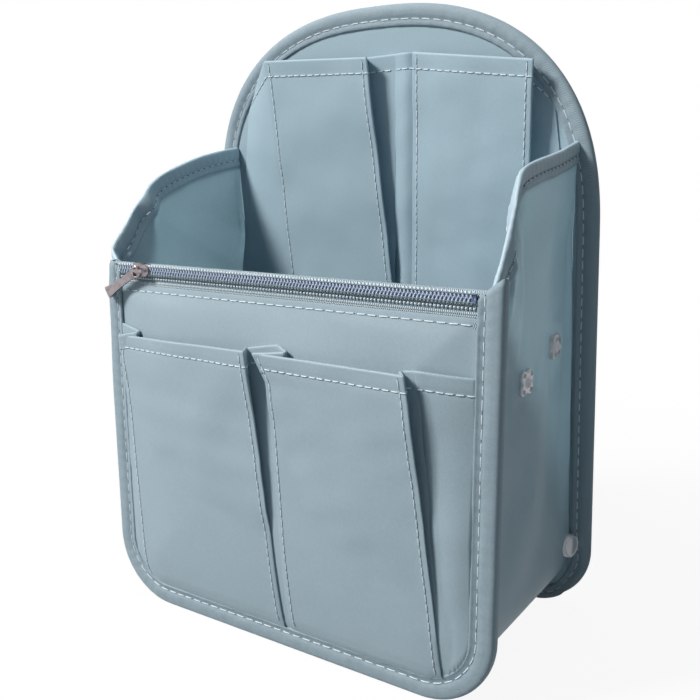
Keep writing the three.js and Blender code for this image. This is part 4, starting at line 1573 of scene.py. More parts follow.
@dataclass
class PleatedPocket:
    """A pocket's cloth. Its corners are given at several heights, and its top edge is folded in and sewn."""

    node: str
    heights: tuple[float, ...]
    knots: tuple[Array, ...]
    radii: tuple[float, ...]
    runs: tuple[int, ...]
    # Each edge-stitched fold: the knot's number, and 1 or -1 for the side of it that is sewn
    folds: tuple[tuple[int, int], ...] = ()
    swell: tuple[float, ...] = ()
    # The straight stretches whose outer end is caught under the panel's binding
    caught: tuple[int, ...] = ()
    # How far each straight stretch stays in front of the cover, so that a pleat's layers lie on each other
    lifts: tuple[float, ...] = ()
    hem: float = 6.8
    seed: int = 1

    def rows(self, shares: Array) -> Array:
        """Lays out the cloth at shares of the way from foot to mouth.

        Args:
            shares: 0 at the foot and 1 at the mouth.

        Returns:
            The grid of points.
        """
        stack = np.array(self.knots).swapaxes(0, 1)
        grid = []
        for share in shares:
            corners = [[np.interp(share, self.heights, values) for values in corner.T] for corner in stack]
            radii = [radius * (0.35 + 0.65 * share) for radius in self.radii]
            grid.append(rounded_line(np.array(corners), radii, self.runs))
        return np.array(grid)

    def layer_lift(self) -> Array:
        """Finds how far each column of the cloth stays in front of what it lies on.

        Returns:
            The distances.
        """
        places, column = [], 0
        for count in self.runs:
            places += [column, column + count - 1]
            column += count + ROUNDING_POINTS
        columns = np.arange(column - ROUNDING_POINTS)
        return np.interp(columns, places, np.repeat(self.lifts or [0.0] * len(self.runs), 2))

    def column_of(self, knot: int) -> int:
        """Returns the grid column that holds a knot's rounding."""
        return sum(self.runs[:knot]) + ROUNDING_POINTS * (knot - 1) + ROUNDING_POINTS // 2

    def span_swell(self, grid: Array, shares: Array) -> Array:
        """Finds how far points swell forward, most in the middle of each straight stretch.

        Args:
            grid: the cloth's points.
            shares: each row's share of the way from foot to mouth.

        Returns:
            The distances.
        """
        out = np.zeros(grid.shape[:2])
        column = 0
        for span, count in enumerate(self.runs):
            height = self.swell[span] if span < len(self.swell) else 0.0
            bow = np.sin(np.pi * np.linspace(0, 1, count))
            rise = np.sin(np.pi * np.clip(shares, 0, 1) ** 0.8 * 0.92) ** 0.7
            out[:, column : column + count] = height * rise[:, None] * bow[None]
            column += count + ROUNDING_POINTS
        return out


@dataclass
class PocketRow:
    """The pockets sewn to one panel, in the panel's own coordinates."""

    pockets: list[PleatedPocket] = field(default_factory=list)
    body: str = "front_panel"
    slot: str = "cover_cloth"
    rests_on: str = "front_cover_cloth"
    finish: Finish = COVER_CLOTH
    panel: FrontPanel | BackPanel = field(default_factory=FrontPanel)
    # How far from a fold it is edge-stitched
    fold_seam: float = 2.6

    def settle(self, grid: Array, pocket: PleatedPocket) -> Array:
        """Returns a pocket's cloth unchanged; the rows of pockets hold it down in their own settle."""
        return grid

    def seam_column(self, line: Array, start: int, way: int) -> float:
        """Finds where a fold's seam crosses one row of the cloth.

        Args:
            line: the row's points.
            start: the fold's column.
            way: 1 or -1, the side of the fold that is sewn.

        Returns:
            The column, with its fraction.
        """
        at, walked_on = start, 0.0
        while walked_on < self.fold_seam and 0 < at + way < len(line) - 1:
            walked_on += float(np.linalg.norm(line[at + way] - line[at]))
            at += way
        last = max(1e-6, float(np.linalg.norm(line[at] - line[at - way])))
        return at - way * max(0.0, walked_on - self.fold_seam) / last

    def build_pocket(self, pocket: PleatedPocket) -> Object:
        """Cuts, pleats, hems and sews one pocket.

        Args:
            pocket: what to build.

        Returns:
            The pocket's cloth.
        """
        foot, mouth = pocket.knots[0][:, 2].mean(), pocket.knots[-1][:, 2].mean()
        tall = float(mouth - foot)
        hem = pocket.hem / tall
        shares = np.concatenate([np.linspace(0, 1 - hem * 1.25, 62), np.linspace(1 - hem * 1.25, 1, 14)[1:]])
        grid = pocket.rows(shares)
        first, second = Surface(grid).distances().transpose(2, 0, 1)
        swell = pocket.span_swell(grid, shares)
        uneven = ripple(first, second, pocket.seed, 46.0) * 0.5
        uneven = uneven + ripple(first, second, pocket.seed + 7, 19.0) * 0.14
        grid[..., 1] -= swell + uneven * smooth_step(shares, 0.04, 0.3)[:, None]
        # The hem's stitches pinch the cloth
        grid[..., 1] += 0.22 * hill(shares, 1 - hem, 0.012)[:, None]
        grid = self.settle(grid, pocket)
        normals = Surface(grid).normals()
        top, side = grid[-1], normals[-1]
        inner = [top - side * back + [0, 0, up] for back, up in ((0.25, 0.32), (0.7, 0.3), (0.95, -0.1))]
        back = [grid[k] - normals[k] * 0.85 for k in (-3, -6, -9, -12, -14)]
        surface = Surface(self.panel.place(np.concatenate([grid, np.array(inner), np.array(back)])))
        cloth = surface.build(f"{pocket.node}_cloth", self.finish.material(), POCKET_THICK)
        threads = Threads(pitch=HEM_STITCH, seed=pocket.seed)
        row = float(np.interp(1 - hem, shares, np.arange(len(shares))))
        across = np.linspace(1.5, grid.shape[1] - 2.5, 260)
        threads.add(*surface.line(np.full(len(across), row), across))
        for knot, way in pocket.folds:
            columns = [self.seam_column(line, pocket.column_of(knot), way) for line in grid]
            line, square = surface.line(np.arange(3, len(shares) - 1.0), np.array(columns)[3:-1])
            threads.add(line, square)
        sewn = threads.build(f"{pocket.node}_cloth_stitches", SEWING_THREAD.material())
        assign([cloth, sewn], self.body, self.slot, pocket.node)
        declare_sheet(surface)
        return cloth

    def build(self) -> None:
        """Builds every pocket of the row."""
        for pocket in self.pockets:
            self.build_pocket(pocket)
            LOG.info("pocket: %s", pocket.node)


def knots(*points: Sequence[float]) -> Array:
    """Returns corner points as an array."""
    return np.array(points, float)


@dataclass
class FrontPockets(PocketRow):
    """Three pleated pockets on the front cover, sewn down at the binding and between the pleats."""

    def __post_init__(self) -> None:
        """Sets the corners of each pocket: at the foot, just under the hem, and at the mouth."""
        levels = (0.0, 0.9, 1.0)
        self.pockets = [
            PleatedPocket(
                "front_pocket_left", levels,
                (
                    knots((-96, -0.6, 7.5), (-84, -0.8, 7.5), (-86, -0.9, 7.5),
                          (3.0, -1.6, 7.5), (-4.6, -1.0, 7.5), (4.5, -0.8, 7.5)),
                    knots((-96, -0.8, 129), (-84, -2.8, 128), (-94.2, -3.4, 127),
                          (-6.7, -11.6, 127.5), (-12.6, -3.6, 127.5), (3.2, -3.3, 129)),
                    knots((-96, -0.8, 143.2), (-80.5, -3.0, 140.6), (-94.0, -3.6, 137.6),
                          (-7.7, -12.5, 140.7), (-13.4, -3.8, 140.2), (2.8, -3.3, 143.2)),
                ),
                (1, 2.0, 1.2, 1.3, 1.6, 1), (8, 8, 46, 10, 10), lifts=(0, 0.5, 1.1, 0.5, 0),
                folds=((2, 1), (3, -1)), swell=(0, 0, 1.6, 0, 0), seed=31,
            ),
            PleatedPocket(
                "front_pocket_middle", levels,
                (
                    knots((4.5, -0.8, 7.5), (9.5, -1.0, 7.5), (6.6, -1.5, 7.5),
                          (84, -1.6, 7.5), (77, -1.0, 7.5), (83, -0.8, 7.5)),
                    knots((3.2, -3.3, 129), (9.0, -4.6, 128), (-1.4, -6.4, 127.3),
                          (72.6, -11.8, 127.5), (66.6, -4.4, 127.5), (73.5, -4.0, 127.5)),
                    knots((2.8, -3.3, 143.2), (9.5, -5.8, 141.3), (-6.9, -8.4, 139.4),
                          (70.8, -12.6, 140.1), (64.6, -4.6, 139.8), (70.5, -4.0, 140.3)),
                ),
                (1, 1.2, 1.0, 1.3, 1.4, 1), (6, 8, 44, 10, 5), lifts=(0, 0.5, 1.1, 0.5, 0),
                folds=((2, 1), (3, -1)), swell=(0, 0, 1.4, 0, 0), seed=47,
            ),
            PleatedPocket(
                "front_pocket_right", levels,
                (
                    knots((83, -0.8, 7.5), (85, -1.1, 7.5), (96, -0.6, 7.5)),
                    knots((73.5, -4.0, 127.5), (75.5, -5.6, 127.8), (96, -0.8, 127)),
                    knots((70.5, -4.0, 140.3), (72.2, -6.4, 141.0), (96, -0.9, 139.6)),
                ),
                (1, 3.5, 1), (6, 26), swell=(0, 1.0), seed=53,
            ),
        ]

    def settle(self, grid: Array, pocket: PleatedPocket) -> Array:
        """Presses a pocket's cloth under the binding at its ends and keeps it in front of the cover.

        Args:
            grid: the cloth's points.
            pocket: the pocket.

        Returns:
            The points, moved.
        """
        grid = self.panel.within(grid, 4.5)
        x, z = grid[..., 0], grid[..., 2]
        inside = self.panel.inset(x, z) - self.panel.binding + 0.4
        y = np.maximum(grid[..., 1], -(0.42 + 2.2 * np.clip(inside, 0, None)))
        lift = pocket.layer_lift()[None, :] * smooth_step(inside, 0, 6)
        behind = -(self.panel.puff(x, z) + 1.0 * smooth_step(inside, 0, 4) + 0.35 + lift)
        grid = grid.copy()
        grid[..., 1] = np.where(inside > 0, np.minimum(y, behind), -0.35)
        return grid


# Back panel


@dataclass
class BackPanel:
    """Lining, cover and binding of the back panel, which leans forward. Sizes in millimetres."""

    width: float = 216.6
    height: float = 292.9
    corner: float = 32.2
    shoulder: float = 189.0
    power: float = 0.82
    lean_deg: float = 4.9
    base: float = 108.4
    rear: float = 2.2
    front_leg: float = 9.6
    rear_leg: float = 10.5
    tape_stitch: float = 5.6

    def place(self, grid: Array) -> Array:
        """Leans panel points about the base.

        Args:
            grid: panel points.

        Returns:
            The points in the drawing frame.
        """
        cos, sin = math.cos(math.radians(self.lean_deg)), math.sin(math.radians(self.lean_deg))
        x, y, z = np.moveaxis(grid, -1, 0)
        return np.stack([x, self.base + y * cos - z * sin, y * sin + z * cos], axis=-1)

    def outline(self) -> Array:
        """Draws the outline from the left foot's rounding, anticlockwise.

        Returns:
            Its points, without the first one again at the end.
        """
        half, straight = self.width / 2, self.width / 2 - self.corner
        angles = np.linspace(0, math.pi, 121)
        cos, sin = np.cos(angles), np.sin(angles)
        rise = self.height - self.shoulder
        across = np.sign(cos) * half * np.abs(cos) ** self.power
        arch = np.stack([across, self.shoulder + rise * np.clip(sin, 0, 1) ** self.power], axis=1)
        left = corner_arc(-straight, self.corner, self.corner, 180)
        return np.concatenate([left, corner_arc(straight, self.corner, self.corner, 270), arch])

    def half_at(self, z: float, inset: float) -> float:
        """Measures the panel's half width at a height.

        Args:
            z: the height.
            inset: how far inside the outline.

        Returns:
            The half width.
        """
        if z < self.corner:
            radius = self.corner - inset
            return self.width / 2 - self.corner + math.sqrt(max(0.0, radius**2 - (self.corner - z) ** 2))
        if z < self.shoulder:
            return self.width / 2 - inset
        rise = self.height - inset - self.shoulder
        sin = min(1.0, (z - self.shoulder) / rise) ** (1 / self.power)
        return (self.width / 2 - inset) * (1 - sin * sin) ** (self.power / 2)

    def sheet(self, inset: float, depth: float, rows: int = 90) -> Array:
        """Lays out an even sheet over the panel, its rows closer towards the arch.

        Args:
            inset: how far inside the outline it ends.
            depth: its depth.
            rows: how many rows it has.

        Returns:
            Its points, rows from the foot up.
        """
        low, high = inset + 0.3, self.height - inset - 3.0
        heights = low + (high - low) * (1 - (1 - np.linspace(0, 1, rows)) ** 1.5)
        return even_sheet(heights, [self.half_at(z, inset) for z in heights], depth)

    def build_cloth(
        self, name: str, node: str, depth: float, finish: Finish, slot: str, seed: int
    ) -> None:
        """Lays one of the panel's cloths.

        Args:
            name: the piece's name.
            node: the CAD node it stands for.
            depth: its depth in the panel.
            finish: its cloth.
            slot: the record's material slot.
            seed: picks its unevenness.
        """
        grid = self.sheet(2.2, depth)
        grid[..., 1] += 0.16 * ripple(grid[..., 0], grid[..., 2], seed, 58)
        lay_cloth(Surface(self.place(grid)), name, node, finish, POCKET_THICK, "root", slot)

    def leg_reach(self, z: Array) -> Array:
        """Returns how far in the binding's front leg reaches at heights: less beside the gusset's foot."""
        return self.front_leg - (1 - smooth_step(z, 18, 46)) * 1.7 - (1 - smooth_step(z, 2, 14)) * 2.5

    def build_binding(self) -> Object:
        """Folds the tape round the whole panel and sews it through, seen on both faces.

        Returns:
            The tape.
        """
        edge = PanelEdge(self.outline(), True, 0.0, self.rear)
        points, _, _ = edge.frames(TAPE_STEP)
        legs = self.leg_reach(points[:, 1])
        folded = edge.tape(legs, self.rear_leg, self.tape_stitch, 13)
        surface = Surface(self.place(folded.points))
        tape = surface.build("back_binding_tape", BINDING_TAPE.material(), TAPE_THICK)
        threads = Threads(pitch=self.tape_stitch, seed=19)
        lean = math.radians(self.lean_deg)
        for inset, depth, side in ((legs - 3.05, -0.35, 1.0), (self.rear_leg - 3.0, self.rear + 0.72, -1.0)):
            line, _ = edge.seam(inset, depth)
            square = np.broadcast_to(np.array([0.0, -math.cos(lean), -math.sin(lean)]), line.shape)
            threads.add(self.place(line), square, side, lift=0.18)
        sewn = threads.build("back_binding_stitches", SEWING_THREAD.material())
        assign([tape, sewn], "root", "binding_tape", "back_binding")
        declare_sheet(surface)
        return tape

    def build(self) -> None:
        """Builds and dresses the back panel."""
        self.build_cloth("back_lining_cloth", "back_lining", 0.2, LINING_CLOTH, "lining_cloth", 61)
        self.build_cloth("back_cover_cloth", "back_outer_cover", 2.0, COVER_CLOTH, "cover_cloth", 62)
        self.build_binding()
        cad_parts["back_stiffener_board"].material_slots[0].material = STIFFENER.material()
        LOG.info("back panel: lining, cover, binding")


@dataclass
class BackPockets(PocketRow):
    """Three pleated pockets inside the back panel. Depths are how far the cloth stands off the lining."""

    panel: BackPanel = field(default_factory=BackPanel)
    body: str = "root"
    slot: str = "lining_cloth"
    rests_on: str = "back_lining_cloth"
    finish: Finish = LINING_CLOTH

    def __post_init__(self) -> None:
        """Sets the corners of each pocket: at the foot, where the pleat closes, and at the mouth."""
        levels = (0.0, 0.57, 0.96, 1.0)
        self.pockets = [
            PleatedPocket(
                "back_pocket_left", levels,
                (
                    knots((-97, -0.7, 10.8), (-57, -1.4, 10.8), (7.0, -1.6, 10.8),
                          (2.0, -1.2, 10.8), (3.4, -1.0, 10.8)),
                    knots((-98, -0.8, 158.5), (-59.4, -6.2, 158.5), (5.6, -5.4, 158.5),
                          (1.5, -1.5, 158.5), (4.5, -1.1, 158.5)),
                    knots((-84, -0.9, 247), (-62.6, -9.2, 261.0), (-1.2, -9.2, 259.5),
                          (-6.6, -1.9, 259.8), (8.6, -1.1, 260.2)),
                    knots((-79, -0.9, 256), (-63.4, -9.6, 271.8), (-1.6, -9.6, 269.6),
                          (-7.4, -2.0, 269.8), (9.0, -1.1, 270.4)),
                ),
                (1, 1.3, 1.3, 1.6, 1), (20, 44, 10, 12),
                folds=((1, 1), (2, -1)), swell=(0.8, 1.2, 0, 0), caught=(0,), seed=71, hem=7.0,
            ),
            PleatedPocket(
                "back_pocket_pen", levels,
                (
                    knots((3.4, -1.0, 10.8), (9.0, -2.2, 10.8), (15.5, -1.0, 10.8)),
                    knots((4.5, -1.1, 158.5), (10.5, -3.0, 158.5), (16.4, -1.1, 158.5)),
                    knots((8.6, -1.1, 260.2), (15.2, -3.3, 260.4), (20.6, -1.1, 260.2)),
                    knots((9.0, -1.1, 270.4), (15.6, -3.4, 270.6), (21.2, -1.1, 270.4)),
                ),
                (1, 5.0, 1), (10, 10), swell=(0, 0), seed=73, hem=7.0,
            ),
            PleatedPocket(
                "back_pocket_right", levels,
                (
                    knots((15.5, -1.0, 10.8), (14.4, -2.4, 10.8), (71, -1.6, 10.8),
                          (73, -1.0, 10.8), (97, -0.7, 10.8)),
                    knots((16.4, -1.1, 158.5), (15.2, -3.4, 158.5), (77.4, -6.6, 158.5),
                          (74, -1.4, 158.5), (98, -0.8, 158.5)),
                    knots((20.6, -1.1, 260.2), (19.2, -3.9, 260.4), (81.2, -9.6, 253.4),
                          (76.0, -1.4, 252.0), (88, -0.9, 244)),
                    knots((21.2, -1.1, 270.4), (19.6, -4.0, 270.6), (82.0, -10.0, 263.3),
                          (76.6, -1.4, 262.0), (84, -0.9, 252)),
                ),
                (1, 1.0, 1.3, 2.4, 1), (6, 46, 10, 12),
                folds=((1, 1), (2, -1)), swell=(0, 1.6, 0, 0), caught=(3,), seed=79, hem=7.0,
            ),
        ]

    def settle(self, grid: Array, pocket: PleatedPocket) -> Array:
        """Presses a pocket's cloth under the binding at its ends and keeps it off the lining.

        Args:
            grid: the cloth's points.
            pocket: the pocket.

        Returns:
            The points, moved.
        """
        grid = grid.copy()
        grid[..., 1] = np.minimum(grid[..., 1], -0.45)
        half = np.vectorize(lambda z: self.panel.half_at(float(z), 9.6))(grid[:, :1, 2])
        inside = half - np.abs(grid[..., 0])
        limit = -(0.45 + 1.6 * np.clip(inside, 0, None))
        for span in pocket.caught:
            start = sum(pocket.runs[:span]) + ROUNDING_POINTS * span
            end = start + pocket.runs[span]
            grid[:, start:end, 1] = np.maximum(grid[:, start:end, 1], limit[:, start:end])
        low = grid[..., 2] < 40
        grid[..., 1] = np.where(low, np.maximum(grid[..., 1], limit), grid[..., 1])
        return grid


# Gusset and its hem


@dataclass
class Gusset:
    """One strip down the left side, under the base and up the right, with tape folded over its top edges."""

    half: float = 98.3
    lift: float = 6.5
    corner: float = 27.0
    front: float = 4.4
    split: float = 86.5
    rear_top: float = 227.6
    fold_travel: float = 66.0
    hem_width: float = 11.0
    stitch_drop: float = 7.2
    # How much of the hem's width shows on the left and right walls
    left_share: float = 0.86
    right_share: float = 0.76
    # How many points the hem's section, a wall and the base have
    hem_points: int = 30
    wall_points: int = 74
    base_points: int = 50
    thick: float = 0.4
    # How far the cloth stands out under a snap half, so here a little inwards
    snap_seat: float = -0.25
    # Depth and height of the snap halves on the part that folds
    snap_places: tuple[tuple[float, float], ...] = ((38.0, 131.0), (70.0, 140.5))
    panel: BackPanel = field(default_factory=BackPanel)

    def back_face(self, z: Array | float) -> Array:
        """Returns how deep the back panel's inner face stands at a height."""
        return self.panel.base - np.asarray(z, float) * math.tan(math.radians(self.panel.lean_deg)) - 0.3

    def hem_line(self, side: float, count: int = 240) -> Array:
        """Draws one hem's top line seen from the side. The two differ, as the cloth was pushed about.

        Args:
            side: 1 for the right wall, -1 for the left.
            count: how many points it has.

        Returns:
            Depths and heights, evenly spaced.
        """
        if side > 0:
            points = [(4.1, 173.5), (7.0, 178.6), (10.3, 184.4), (13.6, 191.2), (16.3, 197.8),
                      (18.2, 204.2), (20.4, 209.4), (23.6, 213.4), (28.4, 216.3), (36.0, 218.4),
                      (47.0, 220.3), (66.0, 223.0)]
        else:
            points = [(3.4, 171.8), (6.2, 177.4), (9.4, 183.4), (12.8, 189.8), (16.3, 195.8),
                      (20.3, 202.2), (24.8, 207.8), (30.6, 211.9), (38.0, 215.2), (46.0, 218.0),
                      (64.0, 223.2), (80.0, 226.4)]
        points.append((float(self.back_face(self.rear_top)) - 0.4, self.rear_top))
        return flowing_line(np.array(points), count)

    def hem_squares(self, line: Array) -> Array:
        """Finds the directions down into the cloth, which turn evenly so that the tape never crosses itself.

        Args:
            line: the hem's top line.

        Returns:
            A direction for each of its points.
        """
        ahead = unit(np.gradient(line, axis=0))
        angle = np.unwrap(np.arctan2(ahead[:, 1], ahead[:, 0]))
        # Each direction is the mean over 26 mm of hem
        span = max(3, int(26 / (np.linalg.norm(np.diff(line, axis=0), axis=1).mean())) | 1)
        padded = np.concatenate([np.full(span // 2, angle[0]), angle, np.full(span // 2, angle[-1])])
        angle = np.convolve(padded, np.ones(span) / span, "valid")
        return np.stack([np.sin(angle), -np.cos(angle)], axis=1)

    def lip(self, side: float, along: Array, below: Array) -> Array:
        """Returns how far the hem leans out of the wall's plane, as its folds and handling left it.

        Args:
            side: 1 for the right wall, -1 for the left.
            along: distance along the hem from the front, in millimetres.
            below: distance below the hem.

        Returns:
            Distances outwards.
        """
        if side > 0:
            # Each row is a place along the hem, each column a distance below it. The hem is rolled outwards
            # in the middle of its slope, which hides its face, and bulges below that
            places = [0, 5, 9, 14, 18, 22, 26, 30, 34, 38, 42, 46, 51, 130]
            drops = [0, 4, 8, 12, 18, 28, 42]
            table = np.array(
                [[0.4, 0.0, -0.6, -0.8, -0.5, 0.0, 0.0], [0.8, 0.1, -0.8, -0.9, -0.5, 0.0, 0.0],
                 [1.0, 0.4, -0.2, -0.3, 0.0, 0.1, 0.0], [1.0, 1.1, 1.3, 1.2, 0.8, 0.4, 0.0],
                 [1.0, 1.8, 2.9, 2.7, 1.7, 0.7, 0.0], [1.1, 2.1, 3.2, 2.9, 1.8, 0.7, 0.0],
                 [1.3, 1.5, 1.5, 1.3, 1.0, 0.5, 0.0], [1.7, 0.7, -0.6, -0.9, -0.5, 0.0, 0.0],
                 [2.1, 0.4, -1.7, -2.0, -1.3, -0.3, 0.0], [1.9, 0.2, -1.9, -2.2, -1.4, -0.4, 0.0],
                 [1.6, -0.1, -1.9, -2.1, -1.3, -0.3, 0.0], [0.6, -0.3, -0.9, -1.0, -0.6, -0.1, 0.0],
                 [0.1, 0.0, -0.2, -0.2, -0.1, 0.0, 0.0], [0.0, 0.0, 0.0, 0.0, 0.0, 0.0, 0.0]]
            )
            row = np.interp(along, places, np.arange(len(places)))
            column = np.interp(below, drops, np.arange(len(drops)))
            total, weight = np.zeros(np.shape(row)), np.zeros(np.shape(row))
            for (k, j), stand in np.ndenumerate(table):
                near = hill(row, k, 0.62) * hill(column, j, 0.62)
                total, weight = total + near * stand, weight + near
            return total / weight
        flare = np.interp(
            along, [0, 2, 4, 6, 8, 10, 13, 16, 20, 25, 30, 35, 42, 60, 130],
            [2.0, 3.2, 5.7, 7.7, 8.6, 8.7, 8.0, 6.7, 5.6, 4.2, 2.5, 1.4, 0.6, 0.0, 0.0],
        )
        kink = -3.4 * hill(along, 37, 4.5) * hill(below, 8, 6) + 1.6 * hill(along, 29, 5) * hill(below, 6, 6)
        return flare * np.exp(-((below / 20.0) ** 2)) + kink

    def wall_out(self, side: float, depth: Array, height: Array) -> Array:
        """Returns how far a wall stands out of its plane.

        Args:
            side: 1 for the right wall, -1 for the left.
            depth: depths of the points asked for, in millimetres.
            height: their heights.

        Returns:
            Distances outwards.
        """
        line = self.hem_line(side)
        down = self.hem_squares(line)
        top = np.interp(depth, line[:, 0], line[:, 1])
        drop = np.clip(top - height, 0, None)
        cosine = np.interp(depth, line[:, 0], -down[:, 1])
        below = drop * cosine
        slip = np.clip(drop, 0, 34) * cosine * np.interp(depth, line[:, 0], down[:, 0])
        along = np.clip(np.interp(depth, line[:, 0], walked(line)) - slip, 0, None)
        soft = ripple(depth, height, 5 + int(side), 52) * smooth_step(below, 6, 34)
        low = smooth_step(height, 34, 90) * (1 - smooth_step(height, 182, 204))
        if side > 0:
            high = smooth_step(height, 118, 165)
            ridge = smooth_step(depth, 7, 26) * (1 - smooth_step(depth, 27, 33))
            crease = 2.6 * ridge * high - 1.2 * hill(depth, 20, 14) + 1.8 * hill(depth, 54, 13)
            crease = (crease - 2.4 * hill(depth, 82, 15)) * smooth_step(below, 5, 20)
        else:
            across = (height - 196) * 0.87 + (depth - 33) * 0.49
            crease = -1.4 * hill(depth, 22, 9) + 2.6 * hill(across, 0, 6) - 2.0 * hill(across, 13, 8)
            crease = crease - 1.6 * hill(depth, 88, 9)
        ends = smooth_step(depth, 4, 13) * (1 - smooth_step(depth, 88, 97))
        # The left wall's rear end is sewn in a little further from the edge towards the top
        drawn = (4.6 if side < 0 else 0.0) * smooth_step(depth, 52, 98) * smooth_step(height, 120, 226)
        # Just before the binding the wall turns in, which leaves a dark groove along the seam
        groove = smooth_step(depth - self.back_face(height), -3.6, -1.2) * (1 - smooth_step(height, 205, 222))
        lip = self.lip(side, along, below) * (1 - smooth_step(depth, 88, 96))
        out = -drawn - 0.9 * groove * (side > 0) + lip + (crease * low + 0.7 * soft) * ends
        # A sewn snap half keeps the cloth round it flat
        for place, tall in self.snap_places:
            beside = 1 - smooth_step(np.abs(depth - place), 10, 19)
            near = beside * (1 - smooth_step(np.abs(height - tall), 7, 15))
            out = out - near * (out - self.snap_seat)
        # Level with the snap halves no fold stands out far enough to come through one when it is folded
        level = 1 - smooth_step(np.abs(height - np.mean([tall for _, tall in self.snap_places])), 12, 30)
        return out - level * np.clip(out + self.snap_seat, 0, None)

    def strip_rows(self, depths: Array, rear: bool) -> Array:
        """Lays the strip out row by row from front to back.

        Args:
            depths: the rows' depths, or shares of the rear wedge.
            rear: whether these are rows of the wedge behind the split.

        Returns:
            The grid, columns from the left hem round to the right hem.
        """
        lines = {side: self.hem_line(side) for side in (-1.0, 1.0)}
        rise = (1 - np.cos(np.pi * np.linspace(0, 1, self.wall_points))) / 2
        seam = self.lift + self.corner
        arc = corner_arc(0, 0, self.corner, 180, 14)[1:-1]
        flat = np.linspace(-1, 1, self.base_points) * (self.half - self.corner)
        grid = []
        for value in depths:
            depth = self.split if rear else value
            walls = {}
            for side, line in lines.items():
                top = float(np.interp(depth, line[:, 0], line[:, 1])) - 0.5
                final = float(line[-1, 1]) - 0.5
                top = top + (final - top) * (value if rear else 0.0)
                level = np.zeros(self.wall_points)
                walls[side] = np.stack([level + side * self.half, level, seam + (top - seam) * rise], axis=1)
            across = arc[:, 0] - (self.half - self.corner)
            low = np.stack([across, np.zeros(len(arc)), arc[:, 1] + seam], axis=1)
            base = np.stack([flat, np.zeros(len(flat)), np.full(len(flat), self.lift)], axis=1)
            row = np.concatenate([walls[-1.0][::-1], low, base, low[::-1] * [-1, 1, 1], walls[1.0]])
            row[:, 1] = self.split + value * (self.back_face(row[:, 2]) - self.split) if rear else value
            grid.append(row)
        grid = np.array(grid)
        for side in (-1.0, 1.0):
            wall = smooth_step(grid[..., 2], seam - 22, seam + 30)
            out = self.wall_out(side, grid[..., 1], grid[..., 2]) * wall
            grid[..., 0] = np.where(np.sign(grid[..., 0]) == side, grid[..., 0] + side * out, grid[..., 0])
        low = 1 - smooth_step(grid[..., 2], self.lift, self.lift + 16)
        tucked = hill(grid[..., 1], self.front, 6) + hill(grid[..., 1], 106, 6)
        grid[..., 2] += 0.8 * low * ripple(grid[..., 0], grid[..., 1], 88, 44) * (1 - np.clip(tucked, 0, 1))
        return grid

    def build_strip(self) -> None:
        """Builds the strip in two pieces, a front one and a rear one, both on the root body with the back
        panel.
        """
        depths = self.front + (self.split - self.front) * np.linspace(0, 1, 70) ** 1.25
        front = self.strip_rows(depths, False)
        rear = self.strip_rows(np.linspace(0, 1, 12), True)
        rear[0] = front[-1]
        whole = Surface(np.concatenate([front, rear[1:]]))
        cut = len(front) - 1
        front_piece, front_surface = self.part_of(whole, 0, cut, "gusset_cloth")
        rear_piece, rear_surface = self.part_of(whole, cut, len(whole.points) - 1, "gusset_cloth_rear")
        assign([front_piece], "root", "cover_cloth", "gusset_left", "gusset_right", "gusset_bottom")
        assign([rear_piece], "root", "cover_cloth")
        self.squash(front_piece)
        declare_sheet(front_surface)
        declare_sheet(rear_surface)

    def part_of(self, whole: Surface, first: int, last: int, name: str) -> tuple[Object, Surface]:
        """Builds some rows of a surface, with the whole surface's shading where it was cut.

        Args:
            whole: the whole surface.
            first: the first row.
            last: the last row.
            name: the piece's name.

        Returns:
            The piece, and the surface it shows.
        """
        part = Surface(whole.points[first : last + 1])
        _, faces, _ = part.solid(self.thick)
        normals = whole.normals()[first : last + 1]
        offset = normals * self.thick / 2
        vertices = np.concatenate([part.points + offset, part.points - offset]).reshape(-1, 3)
        uv = np.tile(whole.distances()[first : last + 1].reshape(-1, 2), (2, 1))
        piece = make_piece(name, vertices, faces, GUSSET_CLOTH.material(), uv, 80)
        flat = normals.reshape(-1, 3)
        corners = np.zeros(len(piece.data.loops), np.int32)
        piece.data.loops.foreach_get("vertex_index", corners)
        shading = np.concatenate([flat, -flat])[corners]
        # The corners of the two skins' faces come first, and the rims keep their own shading
        skins = (part.points.shape[0] - 1) * (part.points.shape[1] - 1) * 2 * 4
        shading[skins:] = 0
        piece.data.normals_split_custom_set(shading.tolist())
        return piece, part

    def squash(self, piece: Object) -> None:
        """Gives a soft piece its own copy of its mesh.

        Args:
            piece: the piece.
        """
        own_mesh(piece)

    def hem_drops(self) -> Array:
        """Returns the distances below the hem's top line at which the wall is drawn."""
        return np.linspace(-0.6, self.hem_width, self.hem_points)

